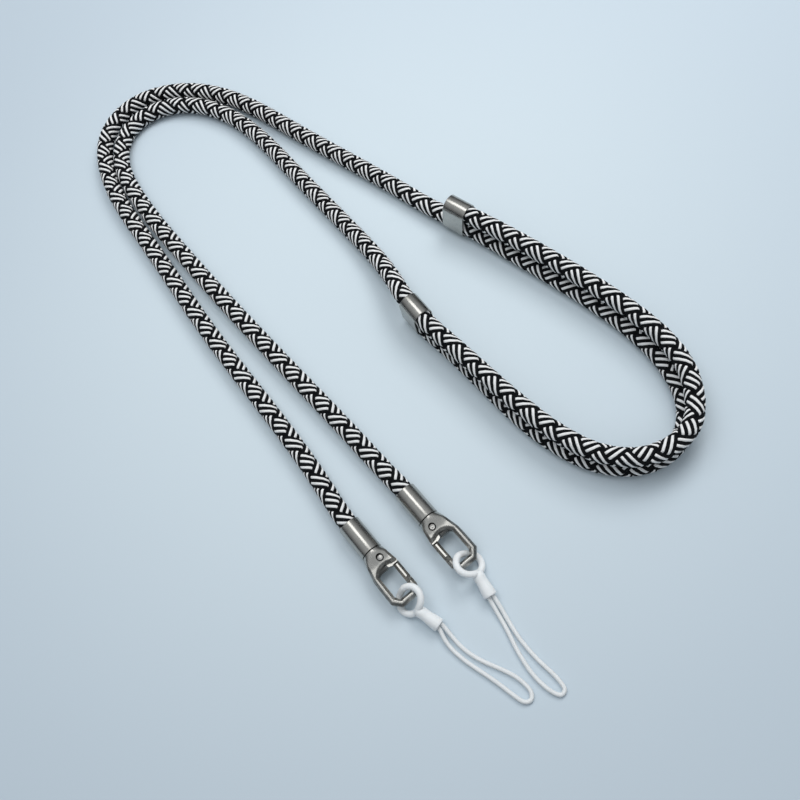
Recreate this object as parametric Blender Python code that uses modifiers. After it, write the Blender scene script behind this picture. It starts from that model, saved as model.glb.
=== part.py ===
"""A phone crossbody strap lying on a table: two braided ropes run side by side, are stacked through
two slider tubes, and end in caps that each carry a swivel clip with a white phone tether.

Units are metres, +Z is up and Z = 0 is the table. The origin is under the middle of the strap's box.
The clips point along -Y.
"""
import math

import bmesh
import bpy
import numpy as np
from mathutils import Matrix, Vector

# Ropes and the thin metal round them
ROPE_D = 0.0078            # body of the braid, which stands about 0.1 mm prouder at its crowns
METAL_WALL = 0.0005        # sheet of the end caps and of the slider tubes
FIT_GAP = 0.0003           # clearance between pieces that seat on or in each other
STACK_GAP = 0.0003         # clearance between the two ropes in a slider
ROPE_STEP = 0.0105         # spacing of the tube's points along a rope
ROPE_SIDES = 3             # bevel resolution of a rope, ten sides round

# End caps, which open towards the rope
CAP_LENGTH = 0.015
CAP_FLOOR = 0.0015         # end wall that the swivel stud passes through
CAP_EDGE = 0.00025         # rounded rims

# Sliders: flat sided tubes standing on a narrow side, with one rope above the other
SLIDER_LENGTH = 0.011
SLIDER_EDGE = 0.00015

# Swivel between cap and clip
SWIVEL_GAP = 0.0004        # the dark line seen between the cap and the clip
STUD_R = 0.0018
STUD_HEAD_R = 0.0030
STUD_HEAD_THICKNESS = 0.0010

# Clip frame, in its own plane: x runs to the solid side, y from the base to the nose
CLIP_BASE_R = 0.0045
CLIP_LENGTH = 0.0245
CLIP_SOLID_X = 0.0070      # outside of the solid side bar
CLIP_GATE_X = 0.0059       # outside of the gate, on the other side
BAR_WIDTH = 0.0029         # solid side and nose
GATE_WIDTH = 0.0027
SHOULDER_Y = 0.0084        # where the body ends and the gate begins
EYE_TOP_Y = 0.0073         # crown of the concave edge over the eye
EYE_ARC_R = 0.0053
EYE_ARC_IN = 0.0008        # how far the solid side cuts into that arc
NOSE_CORNER_Y = CLIP_LENGTH - 0.0035    # where the nose turns in
NOSE_FLAT_SOLID_X = 0.0039
NOSE_FLAT_GATE_X = 0.0028
EYE_CORNER_IN = BAR_WIDTH * 0.45        # the eye's two corners at the nose are cut by this much
SOLID_FLARE = 0.0012       # the solid side has run out this much by its first corner
SOLID_FLARE_Y = SHOULDER_Y * 0.62
SOLID_CORNER_Y = SHOULDER_Y * 1.15
SOLID_CORNER_IN = 0.0002
GATE_FLARE = 0.0006        # the same on the gate side
GATE_FLARE_Y = SHOULDER_Y * 0.48
BASE_HALF_THICKNESS = 0.0033
NOSE_HALF_THICKNESS = 0.0018
CLIP_CHAMFER = 0.0010
CONE_SLOPE = 0.45          # the turned base opens by this much for each metre along the clip
HUB_R = 0.0046             # round foot of the clip against its cap
HUB_STRAIGHT = 0.0006
HUB_END_R = 0.0029         # where the foot has run into the flat body
HUB_LENGTH = 0.0048
BASE_STEP = 0.0003         # the flat body starts this far above the hub's foot
JOIN_DEPTH = 0.0008        # how deep the stud's root reaches into the hub

# Gate: a bar with an arm that turns on a pin in the body
PIVOT_X = -0.0012
PIVOT_Y = 0.0041
PIN_R = 0.0012
PIN_PROUD = 0.0001         # the pin's ends stand this far out of the body
PIN_DIMPLE_R = 0.0006
PIN_DIMPLE_DEPTH = 0.0004
GATE_ARM_HALF_THICKNESS = 0.0009
GATE_EYE_R = 0.0022        # round end of the arm, about the pin
GATE_ARM_INSET = 0.0004     # the arm is this much slimmer than the bar on each side
GATE_BAR_HALF_THICKNESS = 0.0020
GATE_CHAMFER = 0.0010
GATE_START_GAP = 0.0007    # between the shoulder and the bar
NOSE_STUB = 0.00665        # from the nose back to the gate's tip
GATE_TIP_R = CLIP_LENGTH - NOSE_STUB - PIVOT_Y    # the tip's face is an arc about the pin
GATE_TIP_GAP = 0.00035
SLOT_OUT = 0.0015          # the arm's slot runs this far out of the gate side,
SLOT_UP = 0.0012           # this far past the shoulder,
SLOT_DOWN = 0.0014         # from this far above the pin,
SLOT_BEHIND = 0.0006       # and leaves this room behind the arm

# Spring between the gate and the solid side
SPRING_R = 0.00110         # to the middle of the wire
SPRING_WIRE_R = 0.00022
SPRING_Y = 0.0080
SPRING_TURNS = 6
SPRING_POINTS_PER_TURN = 8
SPRING_SEAT_X = PIVOT_X - 0.0001    # face of the gate's arm that the spring pushes on

# White phone tethers: a moulded ring with a sleeve, and a cord loop
RING_HALF_LENGTH = 0.0049  # of the ring's middle line, along the clip
RING_HALF_WIDTH = 0.0047
RING_RISE = 0.0038         # high over the gate side of the nose, as low under the solid side
RING_WRAP = 0.6            # under 1, the ring climbs round the nose early
RING_WIRE_R = 0.0009
RING_CENTRE = (0.0004, CLIP_LENGTH - 0.0005)
RING_POINTS = 28
SLEEVE_START_R = 0.0019
SLEEVE_END_R = 0.0026
SLEEVE_SIDES = 16
SLEEVE_ROOT = 0.2          # the sleeve starts inside the ring, at this share of the wire's radius
SLEEVE_CUP_R = 0.0021      # recess that the cord's two ends sit in
SLEEVE_CUP_DEPTH = 0.0015
TETHER_CORD_D = 0.0016
TETHER_STEP = 0.0026

CAP_R = ROPE_D / 2 + FIT_GAP + METAL_WALL
BORE_R = ROPE_D / 2 + FIT_GAP
STACK_PITCH = ROPE_D + STACK_GAP
ROUND_SEGMENTS = 32
BORE_SEGMENTS = 24
SLIDER_ARC_STEPS = 10
SPLINE_SAMPLES = 24        # between two points of a route
SMALL_EDGE = 0.0002        # break on small turned edges
CURVE_WELD = 0.000005      # points closer than this are one point
SOLID_WELD = 0.000002

# The places below are measured from a point near the strap's middle; this moves the origin to the
# middle of its box
CENTRING = (0.001876, -0.001168, 0.0)

# Where the hardware lies on the table: mouth of each cap, and middle of each slider's lower bore
CAP_MOUTH = {"left": (-0.0730, -0.0770), "right": (-0.0473, -0.0813)}
SLIDER_PLACE = {
    "upper": {"x": 0.0520, "y": 0.0015, "heading_deg": 13.5, "lean_deg": 10.0},
    "lower": {"x": 0.0070, "y": -0.0240, "heading_deg": -3.0, "lean_deg": 0.0},
}
SLEEVE_RUN = {"left": (0.0026, -0.0142), "right": (-0.0017, -0.0143)}    # from the ring's middle
SLEEVE_END_Z = 0.0027

# Routes of the ropes' middle lines, chosen by hand from the photograph: x, y and the lift, which is
# 0 for a rope on the table, about 1 for one that lies on the other rope, and 0.1 more in the metal
ROPE_OUTER_ROUTE = [
    (-0.0730, -0.0860, 0.10), (-0.0730, -0.0810, 0.10), (-0.0730, -0.0760, 0.10),
    (-0.0724, -0.0670, 0.05), (-0.0711, -0.0550, 0.00), (-0.0696, -0.0360, 0.00),
    (-0.0680, 0.0080, 0.00), (-0.0668, 0.0380, 0.00), (-0.0645, 0.0680, 0.00),
    (-0.0618, 0.1020, 0.00), (-0.0598, 0.1270, 0.00), (-0.0572, 0.1420, 0.00),
    (-0.0522, 0.1570, 0.00), (-0.0445, 0.1690, 0.00), (-0.0340, 0.1760, 0.00),
    (-0.0220, 0.1778, 0.00), (-0.0095, 0.1744, 0.00), (0.0015, 0.1670, 0.00),
    (0.0110, 0.1560, 0.00), (0.0180, 0.1430, 0.00), (0.0230, 0.1285, 0.00),
    (0.0294, 0.1010, 0.00), (0.0382, 0.0630, 0.00), (0.0450, 0.0325, 0.00),
    (0.0481, 0.0175, 0.04), (0.0503, 0.0085, 0.10), (0.0520, 0.0015, 0.10),
    (0.0537, -0.0055, 0.10), (0.0563, -0.0160, 0.04), (0.0592, -0.0295, 0.00),
    (0.0645, -0.0555, 0.00), (0.0684, -0.0810, 0.00), (0.0692, -0.0980, 0.00),
    (0.0676, -0.1120, 0.00), (0.0635, -0.1240, 0.00), (0.0558, -0.1338, 0.00),
    (0.0445, -0.1386, 0.00), (0.0325, -0.1368, 0.00), (0.0225, -0.1295, 0.00),
    (0.0156, -0.1190, 0.00), (0.0116, -0.1070, 0.00), (0.0093, -0.0940, 0.00),
    (0.0083, -0.0720, 0.00), (0.0078, -0.0500, 0.00), (0.0072, -0.0400, 0.04),
    (0.0066, -0.0310, 0.10), (0.0070, -0.0240, 0.10), (0.0073, -0.0190, 0.10),
]
ROPE_INNER_ROUTE = [
    (-0.0473, -0.0903, 0.10), (-0.0473, -0.0853, 0.10), (-0.0473, -0.0803, 0.10),
    (-0.0477, -0.0713, 0.05), (-0.0481, -0.0600, 0.00), (-0.0488, -0.0380, 0.00),
    (-0.0502, -0.0070, 0.00), (-0.0513, 0.0200, 0.00), (-0.0522, 0.0500, 0.00),
    (-0.0526, 0.0840, 0.00), (-0.0524, 0.1080, 0.00), (-0.0512, 0.1264, 0.00),
    (-0.0490, 0.1410, 0.00), (-0.0440, 0.1543, 0.00), (-0.0350, 0.1636, 0.00),
    (-0.0228, 0.1670, 0.00), (-0.0096, 0.1633, 0.00), (0.0011, 0.1540, 0.00),
    (0.0082, 0.1417, 0.00), (0.0123, 0.1282, 0.00), (0.0144, 0.1100, 0.00),
    (0.0143, 0.0820, 0.00), (0.0140, 0.0560, 0.00), (0.0138, 0.0330, 0.02),
    (0.0130, 0.0160, 0.23), (0.0110, 0.0010, 0.63), (0.0088, -0.0090, 1.00),
    (0.0075, -0.0155, 1.10), (0.0070, -0.0240, 1.10), (0.0066, -0.0310, 1.10),
    (0.0070, -0.0400, 1.07), (0.0080, -0.0530, 1.04), (0.0090, -0.0710, 1.04),
    (0.0106, -0.0900, 1.02), (0.0138, -0.1090, 1.02), (0.0195, -0.1235, 1.04),
    (0.0285, -0.1337, 1.05), (0.0400, -0.1388, 1.05), (0.0520, -0.1383, 1.04),
    (0.0622, -0.1307, 1.01), (0.0695, -0.1182, 1.00), (0.0722, -0.1045, 1.01),
    (0.0720, -0.0900, 1.02), (0.0690, -0.0665, 1.04), (0.0634, -0.0380, 1.05),
    (0.0580, -0.0160, 1.09), (0.0551, -0.0052, 1.09), (0.0534, 0.0018, 1.09),
    (0.0524, 0.0061, 1.09),
]
# Middle lines of the cord loops: x and y from the middle of their ring, and the height
TETHER_ROUTES = {
    "left": [
        (0.00142, -0.01332, 0.00295), (0.00173, -0.01445, 0.0027), (0.0011, -0.0181, 0.0018),
        (0.0006, -0.0228, 0.0010), (0.0012, -0.0281, 0.0008), (0.0027, -0.0341, 0.0008),
        (0.0047, -0.0406, 0.0008), (0.0065, -0.0476, 0.0008), (0.0078, -0.0531, 0.0008),
        (0.0092, -0.0558, 0.0008), (0.0111, -0.0564, 0.0008), (0.0127, -0.0550, 0.0008),
        (0.0132, -0.0516, 0.0008), (0.0122, -0.0466, 0.0008), (0.0096, -0.0406, 0.0008),
        (0.0065, -0.0344, 0.0008), (0.0044, -0.0281, 0.0008), (0.0037, -0.0228, 0.0010),
        (0.0037, -0.0181, 0.0018), (0.00347, -0.01396, 0.0027), (0.00315, -0.01283, 0.00295),
    ],
    "right": [
        (-0.00238, -0.01298, 0.00295), (-0.00259, -0.01414, 0.0027), (-0.0034, -0.0181, 0.0018),
        (-0.0043, -0.0228, 0.0010), (-0.0054, -0.0280, 0.0008), (-0.0070, -0.0340, 0.0008),
        (-0.0082, -0.0400, 0.0008), (-0.0088, -0.0458, 0.0008), (-0.0084, -0.0515, 0.0008),
        (-0.0072, -0.0559, 0.0008), (-0.0055, -0.0579, 0.0008), (-0.0038, -0.0575, 0.0008),
        (-0.0030, -0.0551, 0.0008), (-0.0030, -0.0508, 0.0008), (-0.0037, -0.0450, 0.0008),
        (-0.0040, -0.0390, 0.0008), (-0.0038, -0.0330, 0.0008), (-0.0030, -0.0273, 0.0008),
        (-0.0021, -0.0225, 0.0010), (-0.0013, -0.0181, 0.0018), (-0.00081, -0.01446, 0.0027),
        (-0.00060, -0.01331, 0.00295),
    ],
}


def clear_scene():
    """Start from an empty scene."""
    for item in list(bpy.data.objects):
        bpy.data.objects.remove(item, do_unlink=True)


def make_material(name, colour, roughness, metallic):
    """A plain Principled BSDF with the piece's main colour."""
    material = bpy.data.materials.new(name)
    material.use_nodes = True
    shader = material.node_tree.nodes["Principled BSDF"]
    shader.inputs["Base Color"].default_value = (*colour, 1.0)
    shader.inputs["Roughness"].default_value = roughness
    shader.inputs["Metallic"].default_value = metallic
    return material


def add_object(name, data, collection, material=None):
    """Link a new object to a collection and give it its material."""
    item = bpy.data.objects.new(name, data)
    collection.objects.link(item)
    if material is not None:
        data.materials.append(material)
    return item


def lay_rope(route):
    """Points of a rope's route in space, its lift measured in stacked ropes."""
    return [(x, y, ROPE_D / 2 + lift * STACK_PITCH) for x, y, lift in route]


def smooth_route(points, step, lowest):
    """Points a step apart on a natural cubic spline through a route, kept above the table."""
    route = np.array(points)
    knots = np.concatenate(([0.0], np.cumsum(np.linalg.norm(np.diff(route, axis=0), axis=1))))
    span = np.diff(knots)
    count = len(knots)
    system = np.eye(count)
    right_side = np.zeros((count, 3))
    for i in range(1, count - 1):
        system[i, i - 1:i + 2] = (span[i - 1], 2 * (span[i - 1] + span[i]), span[i])
        slope_change = (route[i + 1] - route[i]) / span[i] - (route[i] - route[i - 1]) / span[i - 1]
        right_side[i] = 6 * slope_change
    bend = np.linalg.solve(system, right_side)
    fine = []
    for i in range(count - 1):
        for share in np.linspace(0.0, 1.0, SPLINE_SAMPLES, endpoint=i == count - 2):
            after, before = share * span[i], (1 - share) * span[i]
            fine.append(
                (bend[i] * before ** 3 + bend[i + 1] * after ** 3) / (6 * span[i])
                + (route[i] / span[i] - bend[i] * span[i] / 6) * before
                + (route[i + 1] / span[i] - bend[i + 1] * span[i] / 6) * after)
    fine = np.array(fine)
    fine[:, 2] = np.maximum(fine[:, 2], lowest)
    walked = np.concatenate(([0.0], np.cumsum(np.linalg.norm(np.diff(fine, axis=0), axis=1))))
    stations = np.linspace(0.0, walked[-1], max(2, round(walked[-1] / step)) + 1)
    return np.stack([np.interp(stations, walked, fine[:, axis]) for axis in range(3)], axis=1)


def tube_curve(name, points, radius, resolution, collection, material=None, cyclic=False):
    """A round tube along points, as a curve object with filled caps."""
    data = bpy.data.curves.new(name, "CURVE")
    data.dimensions = "3D"
    data.bevel_depth = radius
    data.bevel_resolution = resolution
    data.use_fill_caps = not cyclic
    spline = data.splines.new("POLY")
    spline.points.add(len(points) - 1)
    for place, point in zip(spline.points, points):
        place.co = (*point, 1.0)
    spline.use_cyclic_u = cyclic
    return add_object(name, data, collection, material)


def to_mesh(item, material=None):
    """Replace a curve object by a welded mesh object of the same name."""
    bpy.context.view_layer.update()
    evaluated = item.evaluated_get(bpy.context.evaluated_depsgraph_get())
    mesh = bpy.data.meshes.new_from_object(evaluated)
    work = bmesh.new()
    work.from_mesh(mesh)
    bmesh.ops.remove_doubles(work, verts=work.verts, dist=CURVE_WELD)
    work.to_mesh(mesh)
    work.free()
    name, collection, place = item.name, item.users_collection[0], item.matrix_world.copy()
    bpy.data.objects.remove(item, do_unlink=True)
    mesh.materials.clear()
    solid = add_object(name, mesh, collection, material)
    solid.matrix_world = place
    return solid


def flat_solid(name, outlines, half_thickness, chamfer, collection, material=None):
    """Closed outlines in the XY plane made into a slab with chamfered edges; inner ones are holes."""
    data = bpy.data.curves.new(name, "CURVE")
    data.dimensions = "2D"
    data.fill_mode = "BOTH"
    data.extrude = half_thickness - chamfer
    data.bevel_depth = chamfer
    data.bevel_resolution = 0
    data.offset = -chamfer
    for outline in outlines:
        spline = data.splines.new("POLY")
        spline.points.add(len(outline) - 1)
        for place, (x, y) in zip(spline.points, outline):
            place.co = (x, y, 0.0, 1.0)
        spline.use_cyclic_u = True
    return to_mesh(add_object(name, data, collection), material)


def prism(name, outline, half_thickness, collection):
    """A counter-clockwise outline in the XY plane made into a slab with square edges."""
    count = len(outline)
    points = [(x, y, -half_thickness) for x, y in outline] + [(x, y, half_thickness) for x, y in outline]
    faces = [list(range(count))[::-1], list(range(count, 2 * count))]
    for i in range(count):
        after = (i + 1) % count
        faces.append((i, after, after + count, i + count))
    mesh = bpy.data.meshes.new(name)
    mesh.from_pydata(points, [], faces)
    return add_object(name, mesh, collection)


def turned_solid(name, profile, segments, collection, material=None):
    """A profile of (radius, height) points, top to bottom on its outer side, turned about Z."""
    mesh = bpy.data.meshes.new(name)
    points = [(radius, 0.0, height) for radius, height in profile]
    mesh.from_pydata(points, [(i, i + 1) for i in range(len(points) - 1)], [])
    item = add_object(name, mesh, collection, material)
    screw = item.modifiers.new("Turn", "SCREW")
    screw.axis = "Z"
    screw.angle = math.tau
    screw.steps = segments
    screw.render_steps = segments
    screw.use_merge_vertices = True
    screw.merge_threshold = SOLID_WELD / 2
    screw.use_normal_calculate = True
    return item


def freeze(item, material=None):
    """Apply an object's modifiers and clean the result."""
    bpy.context.view_layer.update()
    evaluated = item.evaluated_get(bpy.context.evaluated_depsgraph_get())
    mesh = bpy.data.meshes.new_from_object(evaluated)
    work = bmesh.new()
    work.from_mesh(mesh)
    bmesh.ops.remove_doubles(work, verts=work.verts, dist=SOLID_WELD)
    bmesh.ops.recalc_face_normals(work, faces=work.faces)
    work.to_mesh(mesh)
    work.free()
    item.modifiers.clear()
    item.data = mesh
    if material is not None:
        mesh.materials.clear()
        mesh.materials.append(material)
    return item


def boolean(item, tool, operation):
    """Join, cut or intersect with another closed mesh, which is then removed."""
    modifier = item.modifiers.new(operation.title(), "BOOLEAN")
    modifier.operation = operation
    modifier.solver = "EXACT"
    modifier.object = tool
    freeze(item)
    bpy.data.objects.remove(tool, do_unlink=True)
    return item


def place(item, matrix):
    """Move a mesh's points, so that the object itself stays at its origin."""
    item.data.transform(matrix)
    item.data.update()
    return item


def shade(item, angle_deg=35.0):
    """Smooth shading with edges kept sharp."""
    item.data.shade_smooth()
    item.data.set_sharp_from_angle(angle=math.radians(angle_deg))
    return item


def move_origin(item, point):
    """Put an object's origin at a point without moving its mesh."""
    item.data.transform(Matrix.Translation(-Vector(point)))
    item.location = point


def arc(centre, radius, start_deg, end_deg, steps):
    """Points on an arc in the XY plane."""
    angles = np.radians(np.linspace(start_deg, end_deg, steps + 1))
    return [(centre[0] + radius * math.cos(a), centre[1] + radius * math.sin(a)) for a in angles]


def stadium(radius, pitch, steps):
    """Outline round two circles, one at the origin and one a pitch above it."""
    return arc((0.0, pitch), radius, 0, 180, steps) + arc((0.0, 0.0), radius, 180, 360, steps)


def build_end_cap(side, collection, material):
    """A thin cup with its mouth on +Y and a hole for the swivel stud in its floor."""
    length, edge = CAP_LENGTH, CAP_EDGE
    hole = STUD_R + FIT_GAP
    profile = [
        (BORE_R, CAP_FLOOR), (BORE_R, length), (CAP_R - edge, length), (CAP_R, length - edge),
        (CAP_R, edge), (CAP_R - edge, 0.0), (hole, 0.0), (hole, CAP_FLOOR), (BORE_R, CAP_FLOOR),
    ]
    cap = freeze(turned_solid(f"end_cap_{side}", profile, ROUND_SEGMENTS, collection), material)
    x, y = CAP_MOUTH[side]
    stand = Matrix.Rotation(math.radians(-90), 4, "X")
    place(cap, Matrix.Translation((x, y - length, CAP_R)) @ stand)
    return shade(cap)


def build_slider(level, collection, material):
    """A flat sided tube round the two ropes, leaning a little about its lower bore."""
    outlines = [stadium(radius, STACK_PITCH, SLIDER_ARC_STEPS) for radius in (CAP_R, BORE_R)]
    slider = flat_solid(f"slider_{level}", outlines, SLIDER_LENGTH / 2, SLIDER_EDGE, collection, material)
    where = SLIDER_PLACE[level]
    upright = Matrix.Rotation(math.radians(90), 4, "X")
    lean = Matrix.Rotation(math.radians(where["lean_deg"]), 4, "Y")
    turn = Matrix.Rotation(math.radians(where["heading_deg"]), 4, "Z")
    place(slider, Matrix.Translation((where["x"], where["y"], CAP_R)) @ turn @ lean @ upright)
    return shade(slider)


def clip_base(side):
    """Place of the clip's base: on the cap's axis, just past its floor."""
    x, y = CAP_MOUTH[side]
    return Vector((x, y - CAP_LENGTH - SWIVEL_GAP, CAP_R))


def clip_frame(side):
    """From the clip's own axes to the strap's. The right clip lies on its other face."""
    if side == "left":
        turn = Matrix.Rotation(math.pi, 4, "Z")
    else:
        turn = Matrix.Rotation(math.pi, 4, "X")
    return Matrix.Translation(clip_base(side)) @ turn


def half_thickness_at(y):
    """The clip thins from its base to its nose."""
    share = min(max(y / CLIP_LENGTH, 0.0), 1.0)
    return BASE_HALF_THICKNESS + (NOSE_HALF_THICKNESS - BASE_HALF_THICKNESS) * share


def stub_end_y(x):
    """The nose's short stub ends on an arc about the pin, clear of the gate's tip."""
    radius = GATE_TIP_R + GATE_TIP_GAP
    return PIVOT_Y + math.sqrt(radius ** 2 - (x - PIVOT_X) ** 2)


def spring_end_x():
    """Middle of the spring's last coil, against the solid side."""
    return CLIP_SOLID_X - BAR_WIDTH - SPRING_WIRE_R


def clip_outline():
    """Outline of the body, open where the gate goes, counter-clockwise seen from +Z."""
    inner_solid_x = CLIP_SOLID_X - BAR_WIDTH
    inner_gate_x = -(CLIP_GATE_X - GATE_WIDTH)
    nose_inner_y = CLIP_LENGTH - BAR_WIDTH
    centre_x = inner_solid_x - EYE_ARC_R + EYE_ARC_IN
    start = -math.degrees(math.acos((inner_solid_x - centre_x) / EYE_ARC_R))
    end = -math.degrees(math.acos((inner_gate_x - centre_x) / EYE_ARC_R))
    return [
        (-CLIP_BASE_R, 0.0), (CLIP_BASE_R, 0.0),
        (CLIP_BASE_R + SOLID_FLARE, SOLID_FLARE_Y), (CLIP_SOLID_X - SOLID_CORNER_IN, SOLID_CORNER_Y),
        (CLIP_SOLID_X, NOSE_CORNER_Y), (NOSE_FLAT_SOLID_X, CLIP_LENGTH),
        (-NOSE_FLAT_GATE_X, CLIP_LENGTH), (-CLIP_GATE_X, NOSE_CORNER_Y),
        (-CLIP_GATE_X, stub_end_y(-CLIP_GATE_X)), (inner_gate_x, stub_end_y(inner_gate_x)),
        (inner_gate_x, NOSE_CORNER_Y - EYE_CORNER_IN), (inner_gate_x + EYE_CORNER_IN, nose_inner_y),
        (inner_solid_x - EYE_CORNER_IN, nose_inner_y), (inner_solid_x, NOSE_CORNER_Y - EYE_CORNER_IN),
        *arc((centre_x, EYE_TOP_Y + EYE_ARC_R), EYE_ARC_R, start, end, 10),
        (-CLIP_GATE_X, SHOULDER_Y), (-CLIP_BASE_R - GATE_FLARE, GATE_FLARE_Y),
    ]


def gate_arm_outline():
    """Round end about the pin, and the arm that runs out into the bar."""
    outer_x = -CLIP_GATE_X + GATE_ARM_INSET
    inner_x = -(CLIP_GATE_X - GATE_WIDTH) - GATE_ARM_INSET
    reach_y = SHOULDER_Y + GATE_START_GAP + GATE_WIDTH
    return (
        arc((PIVOT_X, PIVOT_Y), GATE_EYE_R, 190, 430, 16)
        + [(SPRING_SEAT_X, SPRING_Y - SPRING_R), (SPRING_SEAT_X, SPRING_Y + SPRING_R * 0.6),
           (inner_x, SPRING_Y + SPRING_R * 1.4), (inner_x, reach_y), (outer_x, reach_y),
           (outer_x, SHOULDER_Y)]
    )


def gate_slot_outline():
    """The space that the arm sweeps from closed to open, out through the gate side of the body."""
    outside_x = -CLIP_GATE_X - SLOT_OUT
    beyond_y = SHOULDER_Y + SLOT_UP
    return (
        arc((PIVOT_X, PIVOT_Y), GATE_EYE_R + FIT_GAP, 190, 390, 14)
        + [(PIVOT_X + GATE_EYE_R + SLOT_BEHIND, beyond_y), (outside_x, beyond_y),
           (outside_x, PIVOT_Y + SLOT_DOWN)]
    )


def gate_bar_outline():
    """The bar that closes the eye, with its tip on an arc about the pin."""
    start_y = SHOULDER_Y + GATE_START_GAP
    outer, inner = -CLIP_GATE_X, -(CLIP_GATE_X - GATE_WIDTH)
    tip = []
    for x in np.linspace(inner, outer, 4):
        tip.append((x, PIVOT_Y + math.sqrt(GATE_TIP_R ** 2 - (x - PIVOT_X) ** 2)))
    return [(outer, start_y), (inner, start_y)] + tip


def cylinder(name, radius, low, high, segments, collection):
    """A round bar along Z between two heights."""
    profile = [(0.0, high), (radius, high), (radius, low), (0.0, low)]
    return freeze(turned_solid(name, profile, segments, collection))


def pin_hole(cutters):
    """The bore for the pin, through the body and the gate's arm."""
    hole = cylinder("pin_hole", PIN_R + FIT_GAP, -CLIP_LENGTH / 2, CLIP_LENGTH / 2, BORE_SEGMENTS, cutters)
    return place(hole, Matrix.Translation((PIVOT_X, PIVOT_Y, 0.0)))


def build_clip_body(side, collection, cutters, material):
    """Tapered frame, cut round at its base, with the gate's slot, the pin's hole and a swivel stud."""
    body = flat_solid(f"clip_body_{side}", [clip_outline()], BASE_HALF_THICKNESS, CLIP_CHAMFER, collection)
    for vertex in body.data.vertices:
        vertex.co.z *= half_thickness_at(vertex.co.y) / BASE_HALF_THICKNESS
    cone_end = CLIP_LENGTH * 1.1
    cone_profile = [
        (0.0, cone_end), (HUB_R + CONE_SLOPE * cone_end, cone_end), (HUB_R - SMALL_EDGE / 2, BASE_STEP),
        (0.0, BASE_STEP),
    ]
    cone = freeze(turned_solid("base_cone", cone_profile, BORE_SEGMENTS * 2, cutters))
    place(cone, Matrix.Rotation(math.radians(-90), 4, "X"))
    boolean(body, cone, "INTERSECT")
    hub_profile = [
        (0.0, HUB_LENGTH), (HUB_END_R, HUB_LENGTH), (HUB_R, HUB_STRAIGHT), (HUB_R, SMALL_EDGE),
        (HUB_R - SMALL_EDGE, 0.0), (0.0, 0.0),
    ]
    hub = freeze(turned_solid("hub", hub_profile, BORE_SEGMENTS * 2, cutters))
    boolean(body, place(hub, Matrix.Rotation(math.radians(-90), 4, "X")), "UNION")
    slot = prism("slot", gate_slot_outline(), GATE_ARM_HALF_THICKNESS + FIT_GAP, cutters)
    boolean(body, slot, "DIFFERENCE")
    pocket_r = SPRING_R + SPRING_WIRE_R + FIT_GAP
    pocket_end = spring_end_x() + SPRING_WIRE_R + FIT_GAP
    pocket = cylinder("pocket", pocket_r, SPRING_SEAT_X - FIT_GAP, pocket_end, 20, cutters)
    along = Matrix.Rotation(math.radians(90), 4, "Y")
    boolean(body, place(pocket, Matrix.Translation((0.0, SPRING_Y, 0.0)) @ along), "DIFFERENCE")
    boolean(body, pin_hole(cutters), "DIFFERENCE")
    head_top = SWIVEL_GAP + CAP_FLOOR + FIT_GAP + STUD_HEAD_THICKNESS
    stud_profile = [
        (0.0, head_top), (STUD_HEAD_R, head_top), (STUD_HEAD_R, head_top - STUD_HEAD_THICKNESS),
        (STUD_R, head_top - STUD_HEAD_THICKNESS), (STUD_R, -JOIN_DEPTH), (0.0, -JOIN_DEPTH),
    ]
    stud = freeze(turned_solid("stud", stud_profile, BORE_SEGMENTS, cutters))
    place(stud, Matrix.Rotation(math.radians(90), 4, "X"))
    boolean(body, stud, "UNION")
    body.data.materials.clear()
    body.data.materials.append(material)
    return shade(place(body, clip_frame(side)))


def build_gate(side, collection, cutters, material):
    """The gate: a chamfered bar and a thin arm with a hole for the pin, its origin on the pin."""
    outline = gate_bar_outline()
    gate = flat_solid(f"clip_gate_{side}", [outline], GATE_BAR_HALF_THICKNESS, GATE_CHAMFER, collection)
    boolean(gate, prism("arm", gate_arm_outline(), GATE_ARM_HALF_THICKNESS, cutters), "UNION")
    boolean(gate, pin_hole(cutters), "DIFFERENCE")
    gate.data.materials.clear()
    gate.data.materials.append(material)
    shade(place(gate, clip_frame(side)))
    move_origin(gate, clip_frame(side) @ Vector((PIVOT_X, PIVOT_Y, 0.0)))
    return gate


def build_pin(side, collection, material):
    """The gate's pin: a low dome at one end and a dimple at the other."""
    half = half_thickness_at(PIVOT_Y) + PIN_PROUD
    profile = [
        (0.0, half), (PIN_R * 0.6, half - SMALL_EDGE / 4), (PIN_R, half - SMALL_EDGE),
        (PIN_R, -half + SMALL_EDGE), (PIN_R - SMALL_EDGE / 2, -half),
        (PIN_DIMPLE_R, -half), (0.0, -half + PIN_DIMPLE_DEPTH),
    ]
    pin = freeze(turned_solid(f"gate_pin_{side}", profile, 20, collection), material)
    place(pin, clip_frame(side) @ Matrix.Translation((PIVOT_X, PIVOT_Y, 0.0)))
    return shade(pin)


def build_spring(side, collection, material):
    """The coil that pushes the gate shut, between the gate's bar and the solid side."""
    start = SPRING_SEAT_X + SPRING_WIRE_R + FIT_GAP
    end = spring_end_x()
    count = SPRING_TURNS * SPRING_POINTS_PER_TURN
    frame = clip_frame(side)
    points = []
    for i in range(count + 1):
        angle = math.tau * i / SPRING_POINTS_PER_TURN
        x = start + (end - start) * i / count
        y = SPRING_Y + SPRING_R * math.cos(angle)
        points.append(frame @ Vector((x, y, SPRING_R * math.sin(angle))))
    return tube_curve(f"gate_spring_{side}", points, SPRING_WIRE_R, 1, collection, material)


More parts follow.
